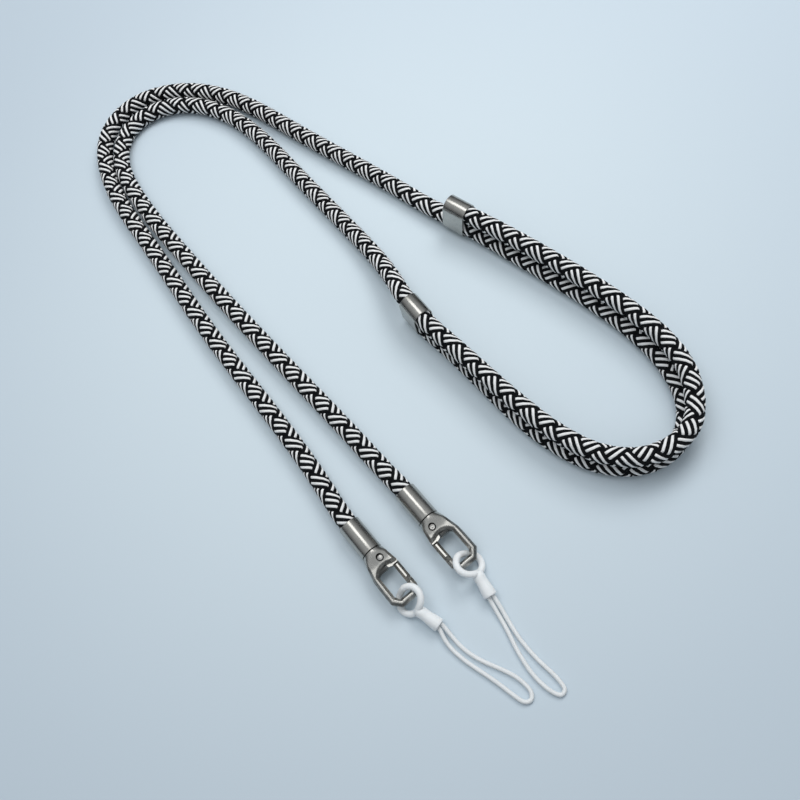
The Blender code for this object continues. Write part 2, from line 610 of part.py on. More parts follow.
def ring_points(side):
    """The tether ring's middle line: it dips under the nose and rises over its gate side."""
    frame = clip_frame(side)
    up = frame.to_3x3().inverted() @ Vector((0.0, 0.0, 1.0))
    centre = Vector((*RING_CENTRE, 0.0))
    points = []
    for i in range(RING_POINTS):
        angle = math.tau * i / RING_POINTS
        climb = math.copysign(abs(math.sin(angle)) ** RING_WRAP, math.sin(angle))
        across = Vector((-RING_HALF_WIDTH * math.sin(angle), RING_HALF_LENGTH * math.cos(angle), 0.0))
        points.append(frame @ (centre + across + up * RING_RISE * climb))
    return frame @ centre, points


def build_tether_ring(side, collection, cutters, material):
    """A soft moulded ring through the clip's eye, joined to a sleeve that holds the cord's ends."""
    centre, points = ring_points(side)
    ring = tube_curve(f"tether_ring_{side}", points, RING_WIRE_R, 2, collection, cyclic=True)
    ring = to_mesh(ring, material)
    run_x, run_y = SLEEVE_RUN[side]
    end = Vector((centre.x + run_x, centre.y + run_y, SLEEVE_END_Z))
    start = centre - Vector((0.0, RING_HALF_LENGTH - RING_WIRE_R * SLEEVE_ROOT, 0.0))
    run = end - start
    profile = [
        (0.0, run.length - SLEEVE_CUP_DEPTH), (SLEEVE_CUP_R, run.length - SLEEVE_CUP_DEPTH),
        (SLEEVE_CUP_R, run.length), (SLEEVE_END_R - SMALL_EDGE / 2, run.length),
        (SLEEVE_END_R, run.length - SMALL_EDGE), (SLEEVE_END_R - SMALL_EDGE / 2, run.length * 0.75),
        (SLEEVE_START_R, run.length * 0.15), (SLEEVE_START_R * 0.8, 0.0), (0.0, 0.0),
    ]
    sleeve = freeze(turned_solid("sleeve", profile, SLEEVE_SIDES, cutters))
    turn = run.to_track_quat("Z", "X").to_matrix().to_4x4()
    place(sleeve, Matrix.Translation(start) @ turn)
    boolean(ring, sleeve, "UNION")
    return shade(ring, 50.0)


def build_strap():
    """Every piece, in one collection; cutters live in another and are used up."""
    clear_scene()
    strap = bpy.data.collections.new("phone_crossbody_strap")
    cutters = bpy.data.collections.new("cutters")
    for collection in (strap, cutters):
        bpy.context.scene.collection.children.link(collection)
    braid = make_material("braid", (0.36, 0.36, 0.38), 0.8, 0.0)
    steel = make_material("brushed_steel", (0.62, 0.61, 0.58), 0.35, 1.0)
    spring_steel = make_material("spring_steel", (0.35, 0.34, 0.33), 0.35, 1.0)
    soft_white = make_material("soft_white", (0.86, 0.88, 0.89), 0.5, 0.0)
    white_cord = make_material("white_cord", (0.84, 0.86, 0.87), 0.7, 0.0)

    for name, route in (("rope_outer", ROPE_OUTER_ROUTE), ("rope_inner", ROPE_INNER_ROUTE)):
        points = smooth_route(lay_rope(route), ROPE_STEP, ROPE_D / 2)
        tube_curve(name, points, ROPE_D / 2, ROPE_SIDES, strap, braid)
    for level in ("upper", "lower"):
        build_slider(level, strap, steel)
    for side in ("left", "right"):
        build_end_cap(side, strap, steel)
        build_clip_body(side, strap, cutters, steel)
        build_gate(side, strap, cutters, steel)
        build_pin(side, strap, steel)
        build_spring(side, strap, spring_steel)
        build_tether_ring(side, strap, cutters, soft_white)
        middle = ring_points(side)[0]
        route = [(middle.x + x, middle.y + y, z) for x, y, z in TETHER_ROUTES[side]]
        points = smooth_route(route, TETHER_STEP, TETHER_CORD_D / 2)
        tube_curve(f"tether_cord_{side}", points, TETHER_CORD_D / 2, 2, strap, white_cord)
    for item in strap.objects:
        item.location += Vector(CENTRING)


build_strap()
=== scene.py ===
# %% [markdown]
# # Dressing a phone crossbody strap
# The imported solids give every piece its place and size. This script adds what the camera sees: the
# braid of the two ropes, the woven white loops, soft moulded rings, brushed metal, a floor and light.
# The frame is loaded first, because nothing below may move it.

# %% Load the frame
import math

import bmesh
import bpy
import numpy as np
from mathutils import Matrix, Vector
from mathutils.geometry import delaunay_2d_cdt


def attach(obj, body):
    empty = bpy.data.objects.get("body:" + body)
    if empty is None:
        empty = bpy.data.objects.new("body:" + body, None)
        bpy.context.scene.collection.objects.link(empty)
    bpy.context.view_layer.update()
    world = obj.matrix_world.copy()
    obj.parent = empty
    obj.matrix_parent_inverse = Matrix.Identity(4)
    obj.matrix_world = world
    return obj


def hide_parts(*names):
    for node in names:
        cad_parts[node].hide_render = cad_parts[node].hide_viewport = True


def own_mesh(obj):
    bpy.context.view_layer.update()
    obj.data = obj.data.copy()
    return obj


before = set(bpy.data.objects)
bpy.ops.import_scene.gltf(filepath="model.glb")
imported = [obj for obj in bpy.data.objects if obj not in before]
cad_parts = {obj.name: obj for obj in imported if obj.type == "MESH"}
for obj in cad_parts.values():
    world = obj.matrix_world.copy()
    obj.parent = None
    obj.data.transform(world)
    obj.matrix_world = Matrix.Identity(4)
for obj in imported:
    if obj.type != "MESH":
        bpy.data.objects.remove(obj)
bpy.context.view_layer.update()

MM = 0.001

# %% [markdown]
# ## Camera
# The photograph looks down on the table at a slant, with the strap running away to the upper left.
# A camera can be aimed with a Track To constraint, but here its three axes were worked out once from
# the known shapes, so they are set as the columns of a rotation matrix, which is exact.

# %% Camera
CAMERA_PLACE = Vector((-0.072124, -0.201168, 0.3518))
CAMERA_RIGHT = Vector((0.7669, -0.6216, -0.1593))
CAMERA_UP = Vector((0.6279, 0.6756, 0.3863))
CAMERA_LOOK = Vector((0.1326, 0.3963, -0.9085))
LENS_MM = 40.68


def add_object(name, data):
    """Link a new object to the scene."""
    item = bpy.data.objects.new(name, data)
    bpy.context.scene.collection.objects.link(item)
    return item


camera = add_object("camera", bpy.data.cameras.new("camera"))
camera.data.lens = LENS_MM
camera.data.clip_start = 0.01
turn = Matrix((CAMERA_RIGHT, CAMERA_UP, -CAMERA_LOOK)).transposed().to_4x4()
camera.matrix_world = Matrix.Translation(CAMERA_PLACE) @ turn
bpy.context.scene.camera = camera
print("camera looks along", CAMERA_LOOK[:])

# %% [markdown]
# ## Where the ropes lie
# Each rope follows one smooth line. Points were chosen where the rope turns, climbs or enters
# metal: x, y, and the lift in stacked ropes. A Bezier curve could join them, but a natural cubic
# spline passes through every point with no handles to set, and it can be sampled at even steps.

# %% Rope routes
ROPE_D = 0.0078            # body of the braid
STACK_PITCH = 0.0081       # one rope lying on the other
CENTRING = np.array((0.001876, -0.001168, 0.0))    # from the routes' own origin to the frame's
ROPE_STEP, ROPE_PATH_STEP = 0.0005, 0.005    # along the modelled line, and along the cord's path
SPLINE_SAMPLES = 24        # points of the spline between two points of a route

ROPE_OUTER_ROUTE = [
    (-0.0730, -0.0860, 0.10), (-0.0730, -0.0810, 0.10), (-0.0730, -0.0760, 0.10),
    (-0.0724, -0.0670, 0.05), (-0.0711, -0.0550, 0.00), (-0.0696, -0.0360, 0.00),
    (-0.0680, 0.0080, 0.00), (-0.0668, 0.0380, 0.00), (-0.0645, 0.0680, 0.00),
    (-0.0618, 0.1020, 0.00), (-0.0598, 0.1270, 0.00), (-0.0572, 0.1420, 0.00),
    (-0.0522, 0.1570, 0.00), (-0.0445, 0.1690, 0.00), (-0.0340, 0.1760, 0.00),
    (-0.0220, 0.1778, 0.00), (-0.0095, 0.1744, 0.00), (0.0015, 0.1670, 0.00),
    (0.0110, 0.1560, 0.00), (0.0180, 0.1430, 0.00), (0.0230, 0.1285, 0.00),
    (0.0294, 0.1010, 0.00), (0.0382, 0.0630, 0.00), (0.0450, 0.0325, 0.00),
    (0.0481, 0.0175, 0.04), (0.0503, 0.0085, 0.10), (0.0520, 0.0015, 0.10),
    (0.0537, -0.0055, 0.10), (0.0563, -0.0160, 0.04), (0.0592, -0.0295, 0.00),
    (0.0645, -0.0555, 0.00), (0.0684, -0.0810, 0.00), (0.0692, -0.0980, 0.00),
    (0.0676, -0.1120, 0.00), (0.0635, -0.1240, 0.00), (0.0558, -0.1338, 0.00),
    (0.0445, -0.1386, 0.00), (0.0325, -0.1368, 0.00), (0.0225, -0.1295, 0.00),
    (0.0156, -0.1190, 0.00), (0.0116, -0.1070, 0.00), (0.0093, -0.0940, 0.00),
    (0.0083, -0.0720, 0.00), (0.0078, -0.0500, 0.00), (0.0072, -0.0400, 0.04),
    (0.0066, -0.0310, 0.10), (0.0070, -0.0240, 0.10), (0.0073, -0.0190, 0.10),
]
ROPE_INNER_ROUTE = [
    (-0.0473, -0.0903, 0.10), (-0.0473, -0.0853, 0.10), (-0.0473, -0.0803, 0.10),
    (-0.0477, -0.0713, 0.05), (-0.0481, -0.0600, 0.00), (-0.0488, -0.0380, 0.00),
    (-0.0502, -0.0070, 0.00), (-0.0513, 0.0200, 0.00), (-0.0522, 0.0500, 0.00),
    (-0.0526, 0.0840, 0.00), (-0.0524, 0.1080, 0.00), (-0.0512, 0.1264, 0.00),
    (-0.0490, 0.1410, 0.00), (-0.0440, 0.1543, 0.00), (-0.0350, 0.1636, 0.00),
    (-0.0228, 0.1670, 0.00), (-0.0096, 0.1633, 0.00), (0.0011, 0.1540, 0.00),
    (0.0082, 0.1417, 0.00), (0.0123, 0.1282, 0.00), (0.0144, 0.1100, 0.00),
    (0.0143, 0.0820, 0.00), (0.0140, 0.0560, 0.00), (0.0138, 0.0330, 0.02),
    (0.0130, 0.0160, 0.23), (0.0110, 0.0010, 0.63), (0.0088, -0.0090, 1.00),
    (0.0075, -0.0155, 1.10), (0.0070, -0.0240, 1.10), (0.0066, -0.0310, 1.10),
    (0.0070, -0.0400, 1.07), (0.0080, -0.0530, 1.04), (0.0090, -0.0710, 1.04),
    (0.0106, -0.0900, 1.02), (0.0138, -0.1090, 1.02), (0.0195, -0.1235, 1.04),
    (0.0285, -0.1337, 1.05), (0.0400, -0.1388, 1.05), (0.0520, -0.1383, 1.04),
    (0.0622, -0.1307, 1.01), (0.0695, -0.1182, 1.00), (0.0722, -0.1045, 1.01),
    (0.0720, -0.0900, 1.02), (0.0690, -0.0665, 1.04), (0.0634, -0.0380, 1.05),
    (0.0580, -0.0160, 1.09), (0.0551, -0.0052, 1.09), (0.0534, 0.0018, 1.09),
    (0.0524, 0.0061, 1.09),
]
print("points in the routes", len(ROPE_OUTER_ROUTE), len(ROPE_INNER_ROUTE))


# %% Smooth lines
def lay_rope(route):
    """Points of a rope's route in space, its lift measured in stacked ropes."""
    return [(x, y, ROPE_D / 2 + lift * STACK_PITCH) for x, y, lift in route]


def walk(points):
    """The distance walked at each point of a row."""
    steps = np.linalg.norm(np.diff(points, axis=0), axis=1)
    return np.concatenate(([0.0], np.cumsum(steps)))


def smooth_route(points, step, lowest):
    """Points a step apart on a natural cubic spline through a route, kept above the table."""
    route = np.array(points)
    knots = walk(route)
    span = np.diff(knots)
    count = len(knots)
    system = np.eye(count)
    right_side = np.zeros((count, 3))
    for i in range(1, count - 1):
        system[i, i - 1:i + 2] = (span[i - 1], 2 * (span[i - 1] + span[i]), span[i])
        slope_before = (route[i] - route[i - 1]) / span[i - 1]
        slope_after = (route[i + 1] - route[i]) / span[i]
        right_side[i] = 6 * (slope_after - slope_before)
    bend = np.linalg.solve(system, right_side)
    fine = []
    for i in range(count - 1):
        for share in np.linspace(0.0, 1.0, SPLINE_SAMPLES, endpoint=i == count - 2):
            after, before = share * span[i], (1 - share) * span[i]
            fine.append(
                (bend[i] * before ** 3 + bend[i + 1] * after ** 3) / (6 * span[i])
                + (route[i] / span[i] - bend[i] * span[i] / 6) * before
                + (route[i + 1] / span[i] - bend[i + 1] * span[i] / 6) * after)
    fine = np.array(fine)
    fine[:, 2] = np.maximum(fine[:, 2], lowest)
    walked = walk(fine)
    stations = np.linspace(0.0, walked[-1], max(2, round(walked[-1] / step)) + 1)
    even = [np.interp(stations, walked, fine[:, axis]) for axis in range(3)]
    return np.stack(even, axis=1) + CENTRING


class Line:
    """A smooth line with its length, and at each point its direction, its up and its right."""

    def __init__(self, points):
        self.points = points
        self.walked = walk(points)
        self.length = self.walked[-1]
        ahead = np.gradient(points, axis=0)
        self.ahead = ahead / np.linalg.norm(ahead, axis=1)[:, None]
        right = np.cross(self.ahead, (0.0, 0.0, 1.0))
        self.right = right / np.linalg.norm(right, axis=1)[:, None]
        self.up = np.cross(self.right, self.ahead)

    def read(self, rows, distance):
        """Rows of one kind, read at distances along the line."""
        columns = [np.interp(distance, self.walked, rows[:, axis]) for axis in range(3)]
        return np.stack(columns, axis=-1)

    def around(self, distance, angle_deg, radius):
        """Points round the line: 0 degrees is up and 90 is to the right of the way ahead."""
        angle = np.radians(angle_deg)
        out = self.read(self.up, distance) * np.cos(angle)[..., None]
        out += self.read(self.right, distance) * np.sin(angle)[..., None]
        out /= np.linalg.norm(out, axis=-1)[..., None]
        return self.read(self.points, distance) + out * radius[..., None]


rope_lines = {
    name: Line(smooth_route(lay_rope(route), ROPE_STEP, ROPE_D / 2))
    for name, route in (("rope_outer", ROPE_OUTER_ROUTE), ("rope_inner", ROPE_INNER_ROUTE))
}
for name, line in rope_lines.items():
    print(name, "is", round(line.length / MM, 1), "mm long")

# %% [markdown]
# ## The braid
# A round braid is two sets of flat yarn bundles that wind round a core in opposite directions and
# pass over and under each other. Here each set has two bundles: one of seven yarns and one of five,
# black and white in turn, with a black yarn at each edge. A picture of a braid on a plain tube would
# look flat in close views, so every yarn is modelled as its own strip with a rounded back.
#
# Two slanted coordinates make this easy. `u` stays the same along a left-handed yarn and `v` along a
# right-handed one, both in degrees, and twelve yarns share the full turn of each. Whether a yarn is
# on top depends only on the other coordinate, which says what bundle it is crossing.

# %% Braid values
LAY = 0.0208               # length of one full turn of a yarn round the rope
YARN_DEG = (33.0, 25.8)    # a black and a white yarn; seven and five of them make a turn
UNDER_R = 2.86 * MM        # foot of a yarn that passes below
OVER_R = 3.72 * MM         # foot of a yarn that passes above
YARN_CROWN = 0.34 * MM     # rounded back of a yarn
BLOCK_SAG = 0.22 * MM      # the edge yarns of a bundle lie this much lower
DIVE_DEG = 17.0            # half the angle that a yarn takes to dive
DIVE_INSIDE_DEG = 3.0      # the dive's middle lies this far inside the crossed bundle's edge
DIVE_STOPS = (-18.0, -7.0, 5.0, 17.0)    # degrees past that edge
THIRDS = (0.33, 0.67)      # stops on the level stretches
CROWN_FALL = 0.96          # at 1 the rounded back would come down to the yarn's foot
ACROSS = np.array((-1.0, -0.6, 0.0, 0.6, 1.0))    # from edge to edge of a yarn
CORE_R, CORE_STATIONS, CORE_SIDE_DEG = 2.7 * MM, 260, 45.0
CUT_END_R, CUT_END_SIDE_DEG = 3.7 * MM, 15.0    # the heat-sealed end, seen in a slider
CUT_END_MAP_R = 3          # on the thread map
# Each bundle has its middle and yarns, then the middle and yarns of the one that it passes over.
LEFT_HAND_BUNDLES = [(0.0, 7, 0.0, 5), (180.0, 5, 180.0, 7)]
RIGHT_HAND_BUNDLES = [(180.0, 7, 0.0, 7), (0.0, 5, 180.0, 5)]


def bundle_half(yarns):
    """Half the angle that a bundle takes, its yarns' middles from one edge, and their widths."""
    widths = np.array([YARN_DEG[index % 2] for index in range(yarns)])
    return widths.sum() / 2, np.cumsum(widths) - widths / 2, widths


def easing(share):
    """0 to 1 with a smooth start and end."""
    share = np.clip(share, 0.0, 1.0)
    return share * share * (3 - 2 * share)


def crossing_stops(half_deg):
    """Places along a yarn from the bundle that it passes over, close together at the dives."""
    dive = [half_deg + offset for offset in DIVE_STOPS]
    over = [-half_deg * THIRDS[0], half_deg * THIRDS[0]]
    rest = 360.0 - 2 * half_deg
    under = [half_deg + rest * third for third in THIRDS]
    return np.array(sorted([-stop for stop in dive] + over + dive + under))


def yarn_height(own_offset, own_half, cross_offset, cross_half, across):
    """Distance from the rope's middle to a point of a yarn."""
    cross_offset = (cross_offset + 180.0) % 360.0 - 180.0
    depth = cross_half - np.abs(cross_offset)
    over = easing((depth - DIVE_INSIDE_DEG + DIVE_DEG) / (2 * DIVE_DEG))
    sag = BLOCK_SAG * (own_offset / own_half) ** 4 * over
    crown = YARN_CROWN * np.sqrt(1.0 - CROWN_FALL * across ** 2)
    return UNDER_R + (OVER_R - UNDER_R) * over + crown - sag


slant = math.degrees(math.atan(math.pi * ROPE_D / LAY))
print("the yarns lie at about", round(slant), "degrees to the rope")

# %% [markdown]
# The pattern isn't the same all along. Near the sliders the braid is pushed together, so a turn takes
# less rope, and on the bends the whole pattern creeps round. Both are short lists of a distance along
# the rope and a value, eased from one to the next.

# %% How tight and how turned the braid is
BRAID_TURN = {    # distance in mm, angle of the left-handed column from straight up
    "rope_outer": [(0, 0), (220, 0), (330, -18), (470, -19), (560, 10), (640, 31), (776, 31)],
    "rope_inner": [(0, -4), (220, -4), (320, -30), (440, -31), (560, -31), (640, 0), (700, 19),
                   (775, 19)],
}
BRAID_TIGHTNESS = {    # distance in mm, share of the full lay
    "rope_outer": [(0, 1.0), (300, 1.0), (340, 0.86), (440, 0.80), (460, 1.0), (776, 1.0)],
    "rope_inner": [(0, 1.0), (290, 1.0), (330, 0.86), (425, 0.80), (445, 1.0), (775, 1.0)],
}


def eased_list(stops, distance_mm):
    """A value read between stops, with a smooth change from each to the next."""
    places, values = np.array(stops, dtype=float).T
    index = np.clip(np.searchsorted(places, distance_mm, side="right") - 1, 0, len(places) - 2)
    share = easing((distance_mm - places[index]) / (places[index + 1] - places[index]))
    return values[index] + (values[index + 1] - values[index]) * share


tightest = min(share for stops in BRAID_TIGHTNESS.values() for _, share in stops)
print("a full turn takes", round(LAY * tightest / MM, 1), "to", round(LAY / MM, 1), "mm")


# %% Braid meshes
def ring_faces(rows, columns, closed_rows):
    """Quads over a grid of points whose columns close on themselves."""
    faces = []
    for i in range(rows if closed_rows else rows - 1):
        here, ahead = i * columns, (i + 1) % rows * columns
        for j in range(columns):
            after = (j + 1) % columns
            faces.append([here + j, here + after, ahead + after, ahead + j])
    return faces


def braid_mesh(name, line):
    """Every yarn of a rope as a strip, and a dark core below them."""
    stations = line.walked
    lay = LAY * eased_list(BRAID_TIGHTNESS[name], stations / MM)
    rate = 360.0 / lay
    phase_at = np.concatenate(([0.0], np.cumsum((rate[1:] + rate[:-1]) / 2 * np.diff(stations))))
    whole_phase = phase_at[-1]
    points, faces, colours, threads = [], [], [], []

    def add_yarn(middle, yarns, index, cross_middle, cross_half, hand):
        half, places, widths = bundle_half(yarns)
        own = middle - half + places[index]
        stops = crossing_stops(cross_half)
        if hand > 0:    # right-handed: v stays, u runs up with the phase
            first, last = own, own + 2 * whole_phase
        else:           # left-handed: u stays, v runs down with the phase
            first, last = own - 2 * whole_phase, own
        first_turn = math.floor((first - cross_middle) / 360) - 1
        last_turn = math.ceil((last - cross_middle) / 360) + 1
        turns = np.arange(first_turn, last_turn + 1)
        run = (cross_middle + 360.0 * turns[:, None] + stops[None, :]).ravel()
        reach = 2 * widths[index]
        run = run[(run > first - reach) & (run < last + reach)]
        run_grid, across = np.meshgrid(run, ACROSS, indexing="ij")
        own_grid = own + across * widths[index] / 2
        phase = (run_grid - own_grid) / 2 if hand > 0 else (own_grid - run_grid) / 2
        inside = (phase >= 0.0) & (phase <= whole_phase)
        phase = np.clip(phase, 0.0, whole_phase)
        angle = own_grid + hand * phase
        run_grid = own_grid + hand * 2 * phase
        radius = yarn_height(own_grid - middle, half, run_grid - cross_middle, cross_half, across)
        distance = np.interp(phase, phase_at, stations)
        turned = angle + eased_list(BRAID_TURN[name], distance / MM)
        base = len(points) * len(ACROSS)
        rows = line.around(distance, turned, radius)
        points.extend(rows)
        length = walk(rows[:, len(ACROSS) // 2])
        for i in range(len(run) - 1):
            for j in range(len(ACROSS) - 1):
                if not inside[i:i + 2, j:j + 2].any():
                    continue
                corners = [(i, j), (i + 1, j), (i + 1, j + 1), (i, j + 1)]
                if hand > 0:
                    corners.reverse()
                faces.append([base + a * len(ACROSS) + b for a, b in corners])
                colours.append(index % 2)
                threads.append([(length[a] / MM, ACROSS[b]) for a, b in corners])

    for hand, bundles in ((-1, LEFT_HAND_BUNDLES), (1, RIGHT_HAND_BUNDLES)):
        for middle, yarns, cross_middle, cross_yarns in bundles:
            for index in range(yarns):
                add_yarn(middle, yarns, index, cross_middle, bundle_half(cross_yarns)[0], hand)

    all_points = np.concatenate(points)
    base = len(all_points)
    core_stations = np.linspace(0.0, line.length, CORE_STATIONS)
    core_angles = np.arange(0.0, 360.0, CORE_SIDE_DEG)
    distance, angle = np.meshgrid(core_stations, core_angles, indexing="ij")
    core = line.around(distance, angle, np.full(distance.shape, CORE_R))
    core_faces = ring_faces(len(core_stations), len(core_angles), False)
    faces += [[base + corner for corner in face] for face in core_faces]
    colours += [0] * len(core_faces)
    threads += [[(0.0, 0.0)] * 4] * len(core_faces)
    base += distance.size
    end_angles = np.arange(0.0, 360.0, CUT_END_SIDE_DEG)
    flat = np.full(end_angles.shape, 1.0)
    ends = []
    for station, order in ((0.0, -1), (line.length, 1)):    # pale cut ends
        ends.append(line.around(flat * station, end_angles, flat * CUT_END_R))
        faces.append(list(range(base, base + len(end_angles)))[::order])
        colours.append(1)
        around = np.radians(end_angles[::order])
        threads.append([(CUT_END_MAP_R * math.cos(a), CUT_END_MAP_R * math.sin(a)) for a in around])
        base += len(end_angles)
    mesh = bpy.data.meshes.new(name + "_braid")
    mesh.from_pydata(np.concatenate((all_points, core.reshape(-1, 3), *ends)).tolist(), [], faces)
    mesh.polygons.foreach_set("material_index", colours)
    layer = mesh.uv_layers.new(name="thread")
    layer.data.foreach_set("uv", np.array([uv for face in threads for uv in face]).ravel())
    work = bmesh.new()
    work.from_mesh(mesh)
    bmesh.ops.delete(work, geom=[v for v in work.verts if not v.link_faces], context="VERTS")
    work.to_mesh(mesh)
    work.free()
    mesh.shade_smooth()
    return mesh


braids = {}
for name, line in rope_lines.items():
    braids[name] = add_object(name + "_braid", braid_mesh(name, line))
    print(name, "braid has", len(braids[name].data.polygons) * 2, "triangles")

# %% [markdown]
# ## Threads and fibres
# Both yarn colours are bundles of fine filaments with a slight twist. One node group makes that for
# all the textiles: it reads the strip's own map, so the filaments follow each yarn, and gives a height
# for
# the bump and a tone for the colour: random unevenness, plus painted shade in the grooves between the
# filaments. White and black yarns then differ only by values.


# %% Node helpers
def node_group(name, inputs, outputs):
    """An empty shader node group with named sockets, and its two end nodes."""
    group = bpy.data.node_groups.new(name, "ShaderNodeTree")
    for kind, title, value in inputs:
        socket = group.interface.new_socket(title, in_out="INPUT", socket_type=kind)
        if value is not None:
            socket.default_value = value
    for kind, title in outputs:
        group.interface.new_socket(title, in_out="OUTPUT", socket_type=kind)
    return group, group.nodes.new("NodeGroupInput"), group.nodes.new("NodeGroupOutput")


def add_node(tree, kind, **values):
    """A node with its properties and unlinked inputs set by name."""
    node = tree.nodes.new(kind)
    for key, value in values.items():
        if key in node.inputs:
            node.inputs[key].default_value = value
        else:
            setattr(node, key, value)
    return node


def join(tree, source, target):
    """Link one socket to another."""
    tree.links.new(source, target)


FLOAT, VECTOR = "NodeSocketFloat", "NodeSocketVector"


def math_node(tree, operation, first, second=None):
    """A maths node on sockets or numbers, giving its result socket."""
    node = tree.nodes.new("ShaderNodeMath")
    node.operation = operation
    for socket, value in zip(node.inputs, (first, second)):
        if value is None:
            continue
        if isinstance(value, (int, float)):
            socket.default_value = value
        else:
            join(tree, value, socket)
    return node.outputs[0]


print("sockets are of the kinds", FLOAT, VECTOR)

# %% Twisted filaments
HALF_WAVE = 3.14159
# WAVE_SHADE is painted shade: the colour darkens along the filaments' wave, in the grooves between them
WAVE_HEIGHT, WAVE_SHADE = 0.35, 0.22    # the filaments' share in the height and in the shade


def make_filament_group():
    """Twisted filaments along a yarn, from a map of (mm along, -1 to 1 across), with painted shade in
    their grooves.
    """
    group, start, end = node_group(
        "Twisted filaments",
        [(VECTOR, "Map", None), (FLOAT, "Twist", 0.6), (FLOAT, "Filaments", 7.0),
         (FLOAT, "Unevenness", 0.5)],
        [(FLOAT, "Height"), (FLOAT, "Shade")])
    parts = add_node(group, "ShaderNodeSeparateXYZ")
    join(group, start.outputs["Map"], parts.inputs[0])
    lean = math_node(group, "MULTIPLY", parts.outputs["X"], start.outputs["Twist"])
    side = math_node(group, "ADD", parts.outputs["Y"], lean)
    bands = math_node(group, "MULTIPLY", side, start.outputs["Filaments"])
    wave = math_node(group, "SINE", math_node(group, "MULTIPLY", bands, HALF_WAVE))
    noise = add_node(group, "ShaderNodeTexNoise", Scale=1.6, Detail=3.0, Roughness=0.6)
    join(group, start.outputs["Map"], noise.inputs["Vector"])
    spread = math_node(group, "SUBTRACT", noise.outputs["Fac"], 0.5)
    spread = math_node(group, "MULTIPLY", spread, 2.0)
    uneven = math_node(group, "MULTIPLY", spread, start.outputs["Unevenness"])
    half = math_node(group, "MULTIPLY", wave, WAVE_HEIGHT)
    height = math_node(group, "ADD", math_node(group, "ADD", half, uneven), 0.5)
    join(group, height, end.inputs["Height"])
    # painted shade: the tone follows the filaments' wave and is darker in the grooves between them; the
    # unevenness is random tone
    level = math_node(group, "ADD", uneven, 0.5)
    tone = math_node(group, "ADD", math_node(group, "MULTIPLY", wave, WAVE_SHADE), level)
    tone = math_node(group, "MINIMUM", math_node(group, "MAXIMUM", tone, 0.0), 1.0)
    join(group, tone, end.inputs["Shade"])
    return group


FILAMENTS = make_filament_group()
print("node group", FILAMENTS.name)


# %% Material helpers
def new_material(name, inputs):
    """A material with its Principled BSDF's inputs set by name, then its tree and that shader."""
    material = bpy.data.materials.new(name)
    material.use_nodes = True
    shader = material.node_tree.nodes["Principled BSDF"]
    for key, value in inputs.items():
        shader.inputs[key].default_value = value
    return material, material.node_tree, shader


def ramp(tree, factor, dark, light, low=0.0, high=1.0):
    """A colour between two, by a factor."""
    node = tree.nodes.new("ShaderNodeValToRGB")
    node.color_ramp.elements[0].position = low
    node.color_ramp.elements[0].color = (*dark, 1.0)
    node.color_ramp.elements[1].position = high
    node.color_ramp.elements[1].color = (*light, 1.0)
    join(tree, factor, node.inputs["Fac"])
    return node.outputs["Color"]


def add_bump(tree, shader, height, distance, strength=1.0):
    """Feed a height into the shader's normal."""
    bump = add_node(tree, "ShaderNodeBump", Strength=strength, Distance=distance)
    join(tree, height, bump.inputs["Height"])
    join(tree, bump.outputs["Normal"], shader.inputs["Normal"])


def dress(item, node, body):
    """Hide the solid that a piece stands for, and hang the piece on the body that carries it."""
    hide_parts(node)
    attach(item, body)


print("solids to dress", len(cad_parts))

# %% Yarn materials
YARN_TWIST, YARN_BUMP = 0.45, 0.05 * MM


def yarn_material(name, dark, light, sheen, specular):
    """Yarn of twisted filaments."""
    material, tree, shader = new_material(
        name, {"Roughness": 0.75, "Sheen Weight": sheen, "Specular IOR Level": specular})
    thread_map = add_node(tree, "ShaderNodeUVMap", uv_map="thread")
    filaments = add_node(tree, "ShaderNodeGroup", node_tree=FILAMENTS, Twist=YARN_TWIST)
    join(tree, thread_map.outputs["UV"], filaments.inputs["Map"])
    # the colour ramp takes the filaments' tone: random unevenness and painted shade in the grooves
    join(tree, ramp(tree, filaments.outputs["Shade"], dark, light), shader.inputs["Base Color"])
    add_bump(tree, shader, filaments.outputs["Height"], YARN_BUMP)
    return material


BLACK_YARN = yarn_material(
    "black_yarn", (0.002, 0.0025, 0.003), (0.008, 0.009, 0.011), sheen=0.0, specular=0.12)
WHITE_YARN = yarn_material(
    "white_yarn", (0.80, 0.81, 0.82), (0.97, 0.97, 0.97), sheen=0.15, specular=0.3)
for name, braid in braids.items():
    braid.data.materials.append(BLACK_YARN)
    braid.data.materials.append(WHITE_YARN)
    dress(braid, name, "strap")
print("yarn materials", BLACK_YARN.name, WHITE_YARN.name)

# %% [markdown]
# ## White loops
# Each clip carries a thin woven loop that ties on to a phone case. It is a round braid of about a
# dozen fine strands, far too small to model yarn by yarn, but its little grains show on the edge of
# the cord. So the tube is a mesh with small steps, and each point is pushed out by the height of the
# strand that is on top there.

